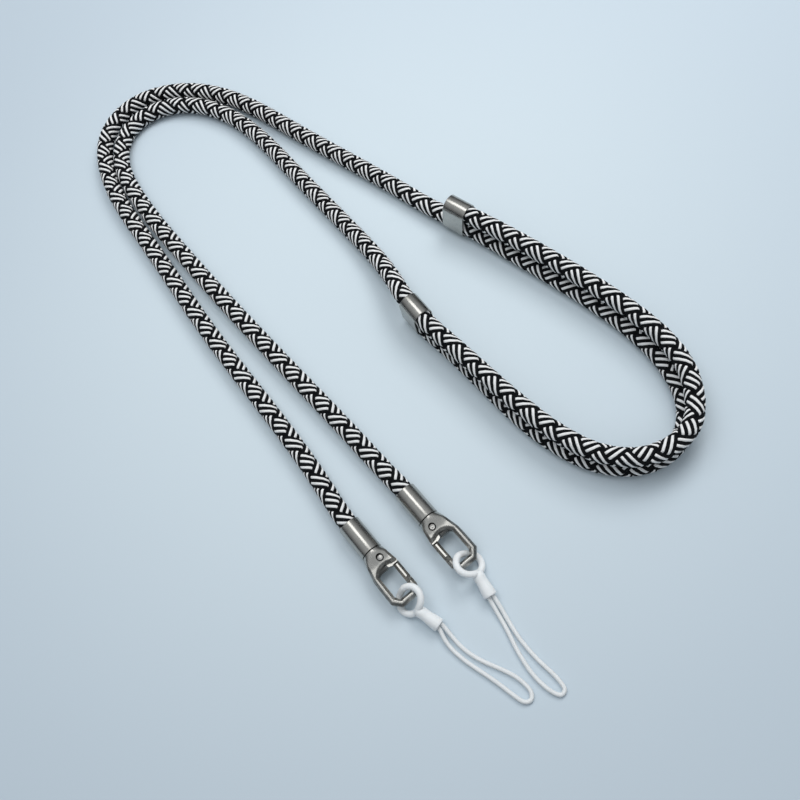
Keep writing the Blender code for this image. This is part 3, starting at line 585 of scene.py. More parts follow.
# %% Loop cords
TETHER_CORD_D = 0.0016
CORD_STEP, CORD_PATH_STEP = 0.0002, 0.001
RING_MIDDLE = {"left": (-0.0734, -0.1164), "right": (-0.0469, -0.1207)}
TETHER_ROUTES = {
    "left": [
        (0.00142, -0.01332, 0.00295), (0.00173, -0.01445, 0.0027), (0.0011, -0.0181, 0.0018),
        (0.0006, -0.0228, 0.0010), (0.0012, -0.0281, 0.0008), (0.0027, -0.0341, 0.0008),
        (0.0047, -0.0406, 0.0008), (0.0065, -0.0476, 0.0008), (0.0078, -0.0531, 0.0008),
        (0.0092, -0.0558, 0.0008), (0.0111, -0.0564, 0.0008), (0.0127, -0.0550, 0.0008),
        (0.0132, -0.0516, 0.0008), (0.0122, -0.0466, 0.0008), (0.0096, -0.0406, 0.0008),
        (0.0065, -0.0344, 0.0008), (0.0044, -0.0281, 0.0008), (0.0037, -0.0228, 0.0010),
        (0.0037, -0.0181, 0.0018), (0.00347, -0.01396, 0.0027), (0.00315, -0.01283, 0.00295),
    ],
    "right": [
        (-0.00238, -0.01298, 0.00295), (-0.00259, -0.01414, 0.0027), (-0.0034, -0.0181, 0.0018),
        (-0.0043, -0.0228, 0.0010), (-0.0054, -0.0280, 0.0008), (-0.0070, -0.0340, 0.0008),
        (-0.0082, -0.0400, 0.0008), (-0.0088, -0.0458, 0.0008), (-0.0084, -0.0515, 0.0008),
        (-0.0072, -0.0559, 0.0008), (-0.0055, -0.0579, 0.0008), (-0.0038, -0.0575, 0.0008),
        (-0.0030, -0.0551, 0.0008), (-0.0030, -0.0508, 0.0008), (-0.0037, -0.0450, 0.0008),
        (-0.0040, -0.0390, 0.0008), (-0.0038, -0.0330, 0.0008), (-0.0030, -0.0273, 0.0008),
        (-0.0021, -0.0225, 0.0010), (-0.0013, -0.0181, 0.0018), (-0.00081, -0.01446, 0.0027),
        (-0.00060, -0.01331, 0.00295),
    ],
}
print("points in the loops", [len(route) for route in TETHER_ROUTES.values()])

# %% Fine braid
FINE_STRANDS = 6           # in each direction
FINE_LAY = 0.0052
FINE_SIDES = 36
FINE_STEP = 0.00022
FINE_RELIEF = 0.09 * MM
RELIEF_LEVEL = 0.3         # this height lies on the cord's own radius
STRAND_BACK, STRAND_ENDS = 0.6, 0.35    # the smaller, the fuller a strand is across and along


def fine_braid_height(angle_deg, distance):
    """0 to 1, high along the middle of the strand that is on top."""
    turn = angle_deg / 360.0
    wind = distance / FINE_LAY
    left = FINE_STRANDS * (turn + wind)
    right = FINE_STRANDS * (turn - wind)
    left_share, right_share = left % 1.0, right % 1.0
    left_on_top = (np.floor(left) + np.floor(right)) % 2 == 0
    along = np.where(left_on_top, right_share, left_share)
    across = np.where(left_on_top, left_share, right_share)
    return np.sin(np.pi * across) ** STRAND_BACK * np.sin(np.pi * along) ** STRAND_ENDS


def loop_cord_mesh(name, line):
    """A tube with the relief of a fine braid and closed ends."""
    stations = np.linspace(0.0, line.length, round(line.length / FINE_STEP))
    angles = np.arange(FINE_SIDES) * 360.0 / FINE_SIDES
    distance, angle = np.meshgrid(stations, angles, indexing="ij")
    height = fine_braid_height(angle, distance)
    radius = TETHER_CORD_D / 2 + FINE_RELIEF * (height - RELIEF_LEVEL)
    rings = line.around(distance, angle, radius)
    faces = ring_faces(len(stations), FINE_SIDES, False)
    last = (len(stations) - 1) * FINE_SIDES
    faces.append(list(range(FINE_SIDES))[::-1])
    faces.append([last + j for j in range(FINE_SIDES)])
    mesh = bpy.data.meshes.new(name)
    mesh.from_pydata(rings.reshape(-1, 3).tolist(), [], faces)
    relief = mesh.attributes.new("relief", "FLOAT", "POINT")
    relief.data.foreach_set("value", height.ravel())
    mesh.shade_smooth()
    return mesh


def loop_cord_material():
    """White polyester cord, with painted shade that darkens the grooves between its strands."""
    material, tree, shader = new_material(
        "loop_cord_white", {"Roughness": 0.7, "Sheen Weight": 0.2})
    # painted shade: the colour darkens where the relief is low, in the grooves between the strands
    relief = add_node(tree, "ShaderNodeAttribute", attribute_name="relief")
    colour = ramp(tree, relief.outputs["Fac"], (0.50, 0.53, 0.55), (0.87, 0.89, 0.90), 0.0, 0.75)
    join(tree, colour, shader.inputs["Base Color"])
    fibres = add_node(tree, "ShaderNodeTexNoise", Scale=9000.0, Detail=2.0)
    add_bump(tree, shader, fibres.outputs["Fac"], 0.02 * MM)
    return material


LOOP_CORD = loop_cord_material()
for side, route in TETHER_ROUTES.items():
    middle_x, middle_y = RING_MIDDLE[side]
    route = [(middle_x + x, middle_y + y, z) for x, y, z in route]
    line = Line(smooth_route(route, CORD_STEP, TETHER_CORD_D / 2))
    cord = add_object(f"loop_cord_{side}", loop_cord_mesh(f"loop_cord_{side}", line))
    cord.data.materials.append(LOOP_CORD)
    dress(cord, f"tether_cord_{side}", f"clip_{side}")
    print(cord.name, round(line.length / MM, 1), "mm", len(cord.data.polygons) * 2, "triangles")

# %% [markdown]
# ## Metal
# Clips, caps and sliders are plain steel with a satin brush: fine scratches that all run one way, so
# the highlight is drawn out across them. Noise that is squeezed hard along one axis gives such lines.
# A node group holds it, so each metal piece can choose its direction, depth and gloss.


# %% Brushed metal
def make_brush_group():
    """Fine parallel scratches, as a height, a roughness and a tone."""
    group, start, end = node_group(
        "Brushed lines",
        [(VECTOR, "Stretch", (1.0, 1.0, 1.0)), (FLOAT, "Roughness", 0.3), (FLOAT, "Variation", 0.12)],
        [(FLOAT, "Height"), (FLOAT, "Roughness"), (FLOAT, "Tone")])
    place = add_node(group, "ShaderNodeTexCoord")
    scaled = add_node(group, "ShaderNodeVectorMath", operation="MULTIPLY")
    join(group, place.outputs["Object"], scaled.inputs[0])
    join(group, start.outputs["Stretch"], scaled.inputs[1])
    lines = add_node(group, "ShaderNodeTexNoise", Scale=1.0, Detail=4.0, Roughness=0.65)
    join(group, scaled.outputs["Vector"], lines.inputs["Vector"])
    patches = add_node(group, "ShaderNodeTexNoise", Scale=350.0, Detail=2.0)
    join(group, place.outputs["Object"], patches.inputs["Vector"])
    join(group, lines.outputs["Fac"], end.inputs["Height"])
    both = math_node(group, "ADD", lines.outputs["Fac"], patches.outputs["Fac"])
    change = math_node(group, "SUBTRACT", both, 1.0)
    change = math_node(group, "MULTIPLY", change, start.outputs["Variation"])
    rough = math_node(group, "ADD", change, start.outputs["Roughness"])
    join(group, rough, end.inputs["Roughness"])
    join(group, math_node(group, "MULTIPLY", both, 0.5), end.inputs["Tone"])
    return group


BRUSHED = make_brush_group()


def metal_material(name, dark, light, roughness, stretch, depth):
    """Steel with brushed lines."""
    material, tree, shader = new_material(name, {"Roughness": roughness, "Metallic": 1.0})
    lines = add_node(
        tree, "ShaderNodeGroup", node_tree=BRUSHED, Stretch=stretch, Roughness=roughness)
    join(tree, lines.outputs["Roughness"], shader.inputs["Roughness"])
    colour = ramp(tree, lines.outputs["Tone"], dark, light, 0.3, 0.7)
    join(tree, colour, shader.inputs["Base Color"])
    add_bump(tree, shader, lines.outputs["Height"], depth)
    return material


FINE_LINES, LONG_LINES = 4500.0, 90.0    # the noise's scale across and along the brushing
ALONG_X = (LONG_LINES, FINE_LINES, FINE_LINES)
ALONG_Y = (FINE_LINES, LONG_LINES, FINE_LINES)
ALONG_Z = (FINE_LINES, FINE_LINES, LONG_LINES)
CLIP_STEEL = metal_material(
    "clip_steel", (0.38, 0.375, 0.355), (0.50, 0.49, 0.465), 0.26, ALONG_Y, 0.0015 * MM)
CAP_STEEL = metal_material(
    "cap_steel", (0.36, 0.355, 0.335), (0.47, 0.46, 0.435), 0.22, ALONG_Y, 0.006 * MM)
PIN_STEEL = metal_material(
    "pin_steel", (0.36, 0.355, 0.34), (0.46, 0.455, 0.44), 0.34, ALONG_Z, 0.003 * MM)
SPRING_STEEL = metal_material(
    "spring_wire", (0.22, 0.22, 0.22), (0.36, 0.36, 0.35), 0.32, ALONG_X, 0.003 * MM)
print("metals", [steel.name for steel in (CLIP_STEEL, CAP_STEEL, PIN_STEEL, SPRING_STEEL)])

# %% [markdown]
# ## Caps and sliders
# A cap is a drawn cup and a slider a flattened tube. Both are a thin wall that follows an outline, a
# circle or two half circles joined by straights, with rolled rims. A Screw modifier would turn the cap
# but not the slider, so one helper carries a small wall section round any outline.

# %% Thin metal walls
FIT_GAP = 0.3 * MM
METAL_WALL = 0.5 * MM
RIM_ROUND, RIM_STEPS = 0.14 * MM, 4
BORE_R = ROPE_D / 2 + FIT_GAP
CAP_R = BORE_R + METAL_WALL
CAP_LENGTH = 15.0 * MM
CAP_FLOOR = 1.5 * MM
STUD_HOLE_R = 2.1 * MM
HALF_ROUND_STEPS = 48
MERGE_WITHIN = 0.001 * MM
SLIDER_LENGTH = 11.0 * MM
CAP_MOUTH = {"left": (-0.0730, -0.0770), "right": (-0.0473, -0.0813)}
SLIDER_PLACE = {
    "upper": {"x": 0.0520, "y": 0.0015, "heading_deg": 13.5, "lean_deg": 10.0},
    "lower": {"x": 0.0070, "y": -0.0240, "heading_deg": -3.0, "lean_deg": 0.0},
}


def arc(centre, radius, start_deg, end_deg, steps):
    """Points on an arc."""
    angles = np.radians(np.linspace(start_deg, end_deg, steps + 1))
    return [(centre[0] + radius * math.cos(a), centre[1] + radius * math.sin(a)) for a in angles]


def mesh_object(name, points, faces, material, sharp_deg=32.0):
    """A mesh object with smooth shading, except over sharp edges, and its normals outward."""
    mesh = bpy.data.meshes.new(name)
    mesh.from_pydata([tuple(p) for p in points], [], faces)
    work = bmesh.new()
    work.from_mesh(mesh)
    bmesh.ops.remove_doubles(work, verts=work.verts, dist=MERGE_WITHIN)
    bmesh.ops.recalc_face_normals(work, faces=work.faces)
    work.to_mesh(mesh)
    work.free()
    mesh.shade_smooth()
    mesh.set_sharp_from_angle(angle=math.radians(sharp_deg))
    mesh.materials.append(material)
    return add_object(name, mesh)


def walled_object(name, outline, section, material):
    """A wall section of (outward, along) carried round a closed outline of (place, outward) pairs."""
    points = []
    for place, outward in outline:
        for offset, along in section:
            points.append((place[0] + outward[0] * offset, place[1] + outward[1] * offset, along))
    return mesh_object(name, points, ring_faces(len(outline), len(section), True), material)


def rounded_pairs(pitch, radius, steps):
    """Round two circles a pitch apart along Y, or one circle: each place with its outward direction."""
    pairs = []
    for centre, start_deg in (((0.0, pitch), 0), ((0.0, 0.0), 180)):
        around = arc((0.0, 0.0), 1.0, start_deg, start_deg + 180, steps)
        pairs += [((centre[0] + x * radius, centre[1] + y * radius), (x, y)) for x, y in around[:-1]]
        if pitch > 0:
            x, y = around[-1]
            pairs.append(((centre[0] + x * radius, centre[1] + y * radius), (x, y)))
    return pairs


def rim(outward, along, turn_deg, radius=RIM_ROUND):
    """A rounded corner of a wall section; the turn is where its arc starts."""
    return arc((outward, along), radius, turn_deg, turn_deg + 90, RIM_STEPS)


def move_mesh(item, matrix):
    """Move a mesh's points and leave its object at the origin."""
    item.data.transform(matrix)
    item.data.update()
    return item


print("walls are", METAL_WALL / MM, "mm thick")

# %% Caps and sliders
LIE_DOWN = Matrix.Rotation(math.radians(-90), 4, "X")
for side, (x, y) in CAP_MOUTH.items():
    low, high, wall = RIM_ROUND, CAP_LENGTH - RIM_ROUND, METAL_WALL - RIM_ROUND
    section = rim(wall, low, 270) + rim(wall, high, 0) + rim(RIM_ROUND, high, 90)
    section += [(0.0, CAP_FLOOR), (STUD_HOLE_R - BORE_R, CAP_FLOOR), (STUD_HOLE_R - BORE_R, 0.0)]
    outline = rounded_pairs(0.0, BORE_R, HALF_ROUND_STEPS)
    cap = walled_object(f"cap_{side}", outline, section, CAP_STEEL)
    place = Matrix.Translation(Vector((x, y - CAP_LENGTH, CAP_R)) + Vector(CENTRING))
    move_mesh(cap, place @ LIE_DOWN)
    dress(cap, f"end_cap_{side}", "strap")
    print(cap.name, len(cap.data.polygons) * 2, "triangles")

for level, where in SLIDER_PLACE.items():
    half = SLIDER_LENGTH / 2 - RIM_ROUND
    section = rim(METAL_WALL - RIM_ROUND, -half, 270) + rim(METAL_WALL - RIM_ROUND, half, 0)
    section += rim(RIM_ROUND, half, 90) + rim(RIM_ROUND, -half, 180)
    outline = rounded_pairs(STACK_PITCH, BORE_R, HALF_ROUND_STEPS)
    slider = walled_object(f"tube_{level}", outline, section, CAP_STEEL)
    upright = Matrix.Rotation(math.radians(90), 4, "X")
    lean = Matrix.Rotation(math.radians(where["lean_deg"]), 4, "Y")
    turn = Matrix.Rotation(math.radians(where["heading_deg"]), 4, "Z")
    place = Matrix.Translation(Vector((where["x"], where["y"], CAP_R)) + Vector(CENTRING))
    move_mesh(slider, place @ turn @ lean @ upright)
    dress(slider, f"slider_{level}", "strap")
    print(slider.name, len(slider.data.polygons) * 2, "triangles")

# %% [markdown]
# ## Clip bodies
# The clip is a casting: round where it turns on its cap, then flatter, and a frame of bevelled bars
# at the eye. Bevelling a flat slab gives the bars but leaves a hard step at the round foot. So the body
# is made as a height over its plan: the plan is filled with points, and each point's height comes from
# its place along the clip and its distance to the nearest edge. The back is the same, mirrored.

# %% Clip values and plan
CLIP_LENGTH = 24.5 * MM
FOOT_R = 4.6 * MM
FOOT_CONE = 0.30           # the foot widens by this share of the way along
SHOULDER_Y = 8.4 * MM
SOLID_X = 7.0 * MM         # outside of the solid side
GATE_X = 5.9 * MM          # outside of the gate side
BAR_WIDTH = 2.9 * MM
GATE_WIDTH = 2.7 * MM
NOSE_CORNER_Y = CLIP_LENGTH - 3.5 * MM
FOOT_HALF, NOSE_HALF = 3.3 * MM, 1.8 * MM
BEVEL = 1.0 * MM
ROUND_END_Y = 7.2 * MM     # the round foot has melted into the flat body here
PIVOT = Vector((-1.2 * MM, 4.1 * MM, 0.0))
PIN_R = 1.2 * MM
NOSE_STUB, TIP_GAP = 6.65 * MM, 0.35 * MM
TIP_R = CLIP_LENGTH - NOSE_STUB - PIVOT.y + TIP_GAP
ARM_HALF = 0.9 * MM
SPRING_R, SPRING_WIRE_R, SPRING_Y = 1.1 * MM, 0.22 * MM, 8.0 * MM
SWIVEL_GAP = 0.4 * MM
FLANK = [(5.7 * MM, 5.2 * MM), (6.8 * MM, 9.7 * MM), (SOLID_X, 13.5 * MM)]
GATE_FLANK = (-5.1 * MM, 4.0 * MM)
NOSE_RIGHT_X, NOSE_LEFT_X = 3.9 * MM, -2.8 * MM
CORNER_CUT = 0.45          # of the bar's width, inside the nose's corners
EYE_ARC_R, EYE_ARC_LOW_Y, EYE_ARC_STEPS = 5.3 * MM, 7.3 * MM, 16
EYE_ARC_BEYOND = 0.8 * MM  # the arc's circle reaches this far past the eye's side
BORDER_STEP, GRID_STEP = 0.30 * MM, 0.28 * MM


def clip_place(side):
    """From the clip's axes, +Y to its nose, to the strap's. The right clip lies turned over."""
    x, y = CAP_MOUTH[side]
    base = Vector((x, y - CAP_LENGTH - SWIVEL_GAP, CAP_R)) + Vector(CENTRING)
    return Matrix.Translation(base) @ Matrix.Rotation(math.pi, 4, "Z" if side == "left" else "X")


def stub_y(x):
    """The nose's stub ends on an arc about the gate's pin."""
    return PIVOT.y + math.sqrt(TIP_R ** 2 - (x - PIVOT.x) ** 2)


def clip_plan():
    """The body's outline, counter-clockwise, from the left end of its foot."""
    inner_solid, inner_gate = SOLID_X - BAR_WIDTH, -(GATE_X - GATE_WIDTH)
    inner_nose, inset = CLIP_LENGTH - BAR_WIDTH, BAR_WIDTH * CORNER_CUT
    arc_x = inner_solid - EYE_ARC_R + EYE_ARC_BEYOND
    start = -math.degrees(math.acos((inner_solid - arc_x) / EYE_ARC_R))
    end = -math.degrees(math.acos((inner_gate - arc_x) / EYE_ARC_R))
    return [
        (-FOOT_R, 0.0), (FOOT_R, 0.0), *FLANK,
        (SOLID_X, NOSE_CORNER_Y), (NOSE_RIGHT_X, CLIP_LENGTH), (NOSE_LEFT_X, CLIP_LENGTH),
        (-GATE_X, NOSE_CORNER_Y), (-GATE_X, stub_y(-GATE_X)), (inner_gate, stub_y(inner_gate)),
        (inner_gate, NOSE_CORNER_Y - inset), (inner_gate + inset, inner_nose),
        (inner_solid - inset, inner_nose), (inner_solid, NOSE_CORNER_Y - inset),
        *arc((arc_x, EYE_ARC_LOW_Y + EYE_ARC_R), EYE_ARC_R, start, end, EYE_ARC_STEPS),
        (-GATE_X, SHOULDER_Y), GATE_FLANK,
    ]


print("the clip's plan has", len(clip_plan()), "corners")


# %% Work on an outline
def split_outline(outline, step):
    """The outline with its long sides split."""
    points = []
    for i, start in enumerate(outline):
        end = outline[(i + 1) % len(outline)]
        count = max(1, round(math.dist(start, end) / step))
        for k in range(count):
            share = k / count
            points.append([a + (b - a) * share for a, b in zip(start, end)])
    return np.array(points)


def edge_distance(points, outline, skip_first):
    """Distance from points to the nearest side of an outline, leaving out its first side if asked."""
    nearest = np.full(len(points), 1.0)
    for i in range(1 if skip_first else 0, len(outline)):
        start, end = np.array(outline[i]), np.array(outline[(i + 1) % len(outline)])
        along = end - start
        share = np.clip(((points - start) @ along) / (along @ along), 0.0, 1.0)
        gap = points - start - share[:, None] * along
        nearest = np.minimum(nearest, np.hypot(gap[:, 0], gap[:, 1]))
    return nearest


def inside_outline(points, outline):
    """Which points an outline holds, by counting the sides to the right of each."""
    held = np.zeros(len(points), dtype=bool)
    for i in range(len(outline)):
        (x0, y0), (x1, y1) = outline[i], outline[(i + 1) % len(outline)]
        if y0 == y1:
            continue
        crosses = (points[:, 1] < y0) != (points[:, 1] < y1)
        held ^= crosses & (points[:, 0] < x0 + (points[:, 1] - y0) / (y1 - y0) * (x1 - x0))
    return held


print("points on the plan's border", len(split_outline(clip_plan(), BORDER_STEP)))

# %% Clip body mesh
ROUND_START_Y = 1.5 * MM   # the foot is fully round up to here
ROUND_POWER, POWER_RISE = 2.0, 2.5    # a circle's section at the foot, then nearly a box
THINNEST = 0.12 * MM       # least half thickness
BEVEL_ROWS, ROW_ERROR = (0.5, 0.985, 1.015), 0.02    # rows of points along the bevel
EDGE_CLEAR, BEVEL_CLEAR, HALF_BEVEL_CLEAR = 0.2 * MM, 0.12 * MM, 0.1 * MM
FILL_ERROR = 1e-7
CLIP_SHARP_DEG = 28.0


def clip_height(points, outline):
    """Half the body's thickness at points of its plan."""
    x, y = points[:, 0], points[:, 1]
    flat = FOOT_HALF + (NOSE_HALF - FOOT_HALF) * np.clip(y / CLIP_LENGTH, 0.0, 1.0)
    bevelled = flat - np.maximum(0.0, BEVEL - edge_distance(points, outline, True))
    foot_r = FOOT_R + FOOT_CONE * y
    crown = FOOT_R + (flat - FOOT_R) * easing(y / ROUND_END_Y)
    power = ROUND_POWER + POWER_RISE * easing(y / ROUND_END_Y)
    side_share = np.clip(np.abs(x) / foot_r, 0.0, 1.0)
    rounded = crown * (1.0 - side_share ** power) ** (1.0 / power)
    share = easing((y - ROUND_START_Y) / (ROUND_END_Y - ROUND_START_Y))
    return np.maximum(rounded + (bevelled - rounded) * share, THINNEST)


def clip_body_mesh(name, material):
    """The body, closed: a front and a back of the same plan, joined by a wall round the outline."""
    outline = clip_plan()
    border = split_outline(outline, BORDER_STEP)
    low, high = border.min(axis=0), border.max(axis=0)
    across = np.arange(low[0], high[0], GRID_STEP)
    along = np.arange(low[1], high[1], GRID_STEP)
    grid = np.array([
        (x + (j % 2) * GRID_STEP / 2, y) for j, y in enumerate(along) for x in across])
    sides = np.roll(border, -1, axis=0) - np.roll(border, 1, axis=0)
    inward = np.stack((-sides[:, 1], sides[:, 0]), axis=1) / np.linalg.norm(sides, axis=1)[:, None]
    rows = []
    for depth in [BEVEL * share for share in BEVEL_ROWS]:
        row = border + inward * depth
        error = np.abs(edge_distance(row, outline, False) - depth)
        rows.append(row[error < depth * ROW_ERROR])
    grid = grid[inside_outline(grid, outline)]
    depth = edge_distance(grid, outline, False)
    clear = (depth > EDGE_CLEAR) & (np.abs(depth - BEVEL) > BEVEL_CLEAR)
    grid = grid[clear & (np.abs(depth - BEVEL / 2) > HALF_BEVEL_CLEAR)]
    plan = np.concatenate([border, *rows, grid])
    edges = [(i, (i + 1) % len(border)) for i in range(len(border))]
    filled = delaunay_2d_cdt([Vector(p) for p in plan], edges, [], 0, FILL_ERROR)
    places = np.array([tuple(v) for v in filled[0]])
    triangles = np.array([list(f) for f in filled[2]])
    triangles = triangles[inside_outline(places[triangles].mean(axis=1), outline)]
    height = clip_height(places, outline)
    count = len(places)
    points = [(x, y, sign * z) for sign in (1, -1) for (x, y), z in zip(places, height)]
    faces = [[int(i) for i in t] for t in triangles]
    faces += [[int(i) + count for i in t[::-1]] for t in triangles]
    used = {}
    for a, b, c in triangles:
        for start, end in ((a, b), (b, c), (c, a)):
            used[(int(start), int(end))] = True
    for start, end in list(used):
        if (end, start) not in used:
            faces.append([end, start, start + count, end + count])
    return mesh_object(name, points, faces, material, CLIP_SHARP_DEG)


print("the clip is", round(CLIP_LENGTH / MM, 1), "mm long")


# %% Solids to cut with
def cut(item, cutter):
    """Take a closed mesh away from another, and remove it."""
    modifier = item.modifiers.new("Cut", "BOOLEAN")
    modifier.operation = "DIFFERENCE"
    modifier.solver = "EXACT"
    modifier.object = cutter
    bpy.context.view_layer.update()
    evaluated = item.evaluated_get(bpy.context.evaluated_depsgraph_get())
    mesh = bpy.data.meshes.new_from_object(evaluated)
    item.modifiers.clear()
    item.data = mesh
    bpy.data.objects.remove(cutter, do_unlink=True)


def solid_of_revolution(name, profile, sides, material):
    """A closed solid from a profile of (radius, height) points that starts and ends on the axis."""
    points = []
    for k in range(sides):
        angle = math.tau * k / sides
        points += [(r * math.cos(angle), r * math.sin(angle), z) for r, z in profile]
    count = len(profile)
    faces = []
    for k in range(sides):
        after = (k + 1) % sides
        for j in range(count - 1):
            faces.append([k * count + j, after * count + j, after * count + j + 1, k * count + j + 1])
    return mesh_object(name, points, faces, material)


def slab(name, outline, half, material):
    """A flat outline made into a slab."""
    count = len(outline)
    points = [(x, y, z) for z in (-half, half) for x, y in outline]
    faces = [list(range(count))[::-1], list(range(count, 2 * count))]
    faces += [[i, (i + 1) % count, (i + 1) % count + count, i + count] for i in range(count)]
    return mesh_object(name, points, faces, material)


def rod(name, radius, low, high, sides):
    """A plain cylinder along Z."""
    profile = [(0.0, low), (radius, low), (radius, high), (0.0, high)]
    return solid_of_revolution(name, profile, sides, CLIP_STEEL)


SLOT_ARC_R, SLOT_TOP_Y, SLOT_LOW_Y = 2.5 * MM, 9.6 * MM, 5.5 * MM
SLOT_IN_X, SLOT_OUT_X = 1.6 * MM, -GATE_X - 1.5 * MM
SLOT = arc(PIVOT, SLOT_ARC_R, 190, 390, 14) + [
    (SLOT_IN_X, SLOT_TOP_Y), (SLOT_OUT_X, SLOT_TOP_Y), (SLOT_OUT_X, SLOT_LOW_Y)]
POCKET_R, POCKET_SIDES = SPRING_R + SPRING_WIRE_R + FIT_GAP, 32
POCKET_X = PIVOT.x - 0.4 * MM
POCKET_RUN = SOLID_X - BAR_WIDTH + FIT_GAP - POCKET_X
HOLE_R, HOLE_REACH, HOLE_SIDES = PIN_R + FIT_GAP + 0.05 * MM, 0.01, 48
print("the gate's slot has", len(SLOT), "corners")

# %% Clip bodies
for side in ("left", "right"):
    body = clip_body_mesh(f"clip_frame_{side}", CLIP_STEEL)
    cut(body, slab("slot", SLOT, ARM_HALF + FIT_GAP, CLIP_STEEL))
    pocket = rod("pocket", POCKET_R, 0.0, POCKET_RUN, POCKET_SIDES)
    sideways = Matrix.Rotation(math.pi / 2, 4, "Y")
    cut(body, move_mesh(pocket, Matrix.Translation((POCKET_X, SPRING_Y, 0.0)) @ sideways))
    hole = rod("hole", HOLE_R, -HOLE_REACH, HOLE_REACH, HOLE_SIDES)
    cut(body, move_mesh(hole, Matrix.Translation(PIVOT)))
    body.data.shade_smooth()
    body.data.set_sharp_from_angle(angle=math.radians(CLIP_SHARP_DEG))
    move_mesh(body, clip_place(side))
    dress(body, f"clip_body_{side}", f"clip_{side}")
    print(body.name, len(body.data.polygons), "faces")

# %% [markdown]
# ## Pins, springs and gates
# The pin shows as a dome in a dark ring on one clip and as a dimple on the other, because that clip
# lies on its back. The spring is a fine coil, just seen under the eye's curved edge. The gates keep the
# solids that were packed, as their shape is already that of the real bar, and only get the finish.

# %% Pin and spring values
SPRING_TURNS, COIL_STEPS, WIRE_SIDES = 7, 24, 10
SPRING_SEAT = 0.1 * MM
PIN_HALF = 3.12 * MM       # just proud of the body
PIN_FACE_R, PIN_SIDES = 1.12 * MM, 48
DOME_R, DOME_END_DEG, DOME_STEPS, DOME_DROP = 5.0 * MM, 77.5, 6, 0.3 * MM
PIN_BACK = [    # radius, and height over the back face: a chamfer, then a round groove
    (PIN_FACE_R, 0.12 * MM), (PIN_FACE_R - 0.12 * MM, 0.0), (0.80 * MM, 0.0),
    (0.72 * MM, 0.35 * MM), (0.42 * MM, 0.35 * MM), (0.34 * MM, 0.05 * MM), (0.0, 0.0)]


def tube_along(name, points, radius, sides, material):
    """A round tube along points, with closed ends."""
    line = np.array(points)
    ahead = np.gradient(line, axis=0)
    ahead /= np.linalg.norm(ahead, axis=1)[:, None]
    out = line - line.mean(axis=0)
    out -= (out * ahead).sum(axis=1)[:, None] * ahead
    out /= np.linalg.norm(out, axis=1)[:, None]
    side = np.cross(ahead, out)
    rings = []
    for k in range(sides):
        angle = math.tau * k / sides
        rings.append(line + radius * (math.cos(angle) * out + math.sin(angle) * side))
    points = np.stack(rings, axis=1).reshape(-1, 3)
    faces = ring_faces(len(line), sides, False)
    faces += [list(range(sides)), [len(points) - sides + k for k in range(sides)]]
    return mesh_object(name, points, faces, material, sharp_deg=60.0)


print("the pin is", round(2 * PIN_HALF / MM, 2), "mm long")

# %% Pins and springs
for side in ("left", "right"):
    dome = arc((0.0, PIN_HALF - DOME_R), DOME_R, 90, DOME_END_DEG, DOME_STEPS)
    profile = dome + [(PIN_FACE_R, PIN_HALF - DOME_DROP)]
    profile += [(radius, -PIN_HALF + height) for radius, height in PIN_BACK]
    pin = solid_of_revolution(f"rivet_{side}", profile, PIN_SIDES, PIN_STEEL)
    move_mesh(pin, clip_place(side) @ Matrix.Translation(PIVOT))
    dress(pin, f"gate_pin_{side}", f"clip_{side}")

    start_x = PIVOT.x - SPRING_SEAT + SPRING_WIRE_R + FIT_GAP
    end_x = SOLID_X - BAR_WIDTH - SPRING_WIRE_R
    coil = []
    for i in range(SPRING_TURNS * COIL_STEPS + 1):
        angle = math.tau * i / COIL_STEPS
        x = start_x + (end_x - start_x) * i / (SPRING_TURNS * COIL_STEPS)
        coil.append((x, SPRING_Y + SPRING_R * math.cos(angle), SPRING_R * math.sin(angle)))
    spring = tube_along(f"coil_{side}", coil, SPRING_WIRE_R, WIRE_SIDES, SPRING_STEEL)
    move_mesh(spring, clip_place(side))
    dress(spring, f"gate_spring_{side}", f"clip_{side}")
    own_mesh(spring)
    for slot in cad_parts[f"clip_gate_{side}"].material_slots:
        slot.link = "OBJECT"
        slot.material = CLIP_STEEL
    print(pin.name, spring.name, "and the packed gate")

# %% [markdown]
# ## Soft rings
# The rings and their sleeves are moulded in a soft white plastic that lets a little light in. The
# solid's parts meet in a sharp crease, but a mould leaves a soft web there. A voxel remesh melts a
# copy of the solid into one even skin, and smoothing then rounds the crease.

# %% Moulded rings
VOXEL = 0.16 * MM
SLEEVE_SKIN = 0.20 * MM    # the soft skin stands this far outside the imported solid
RING_SKIN = 0.52 * MM      # and this far on the ring
RING_REACH, WEB_RUN = 6.2 * MM, 3.0 * MM    # the skin thins from here, over this run
LOWEST_SKIN = 0.05 * MM


def soft_material():
    """Slightly translucent white plastic with a faint grain."""
    material, tree, shader = new_material("soft_ring_white", {
        "Roughness": 0.42, "Subsurface Weight": 0.35, "Subsurface Scale": 0.002,
        "Subsurface Radius": (1.0, 0.95, 0.9)})
    grain = add_node(tree, "ShaderNodeTexNoise", Scale=1500.0, Detail=3.0)
    colour = ramp(tree, grain.outputs["Fac"], (0.78, 0.81, 0.83), (0.88, 0.90, 0.91), 0.3, 0.7)
    join(tree, colour, shader.inputs["Base Color"])
    add_bump(tree, shader, grain.outputs["Fac"], 0.01 * MM)
    return material


SOFT_WHITE = soft_material()
print("material", SOFT_WHITE.name)

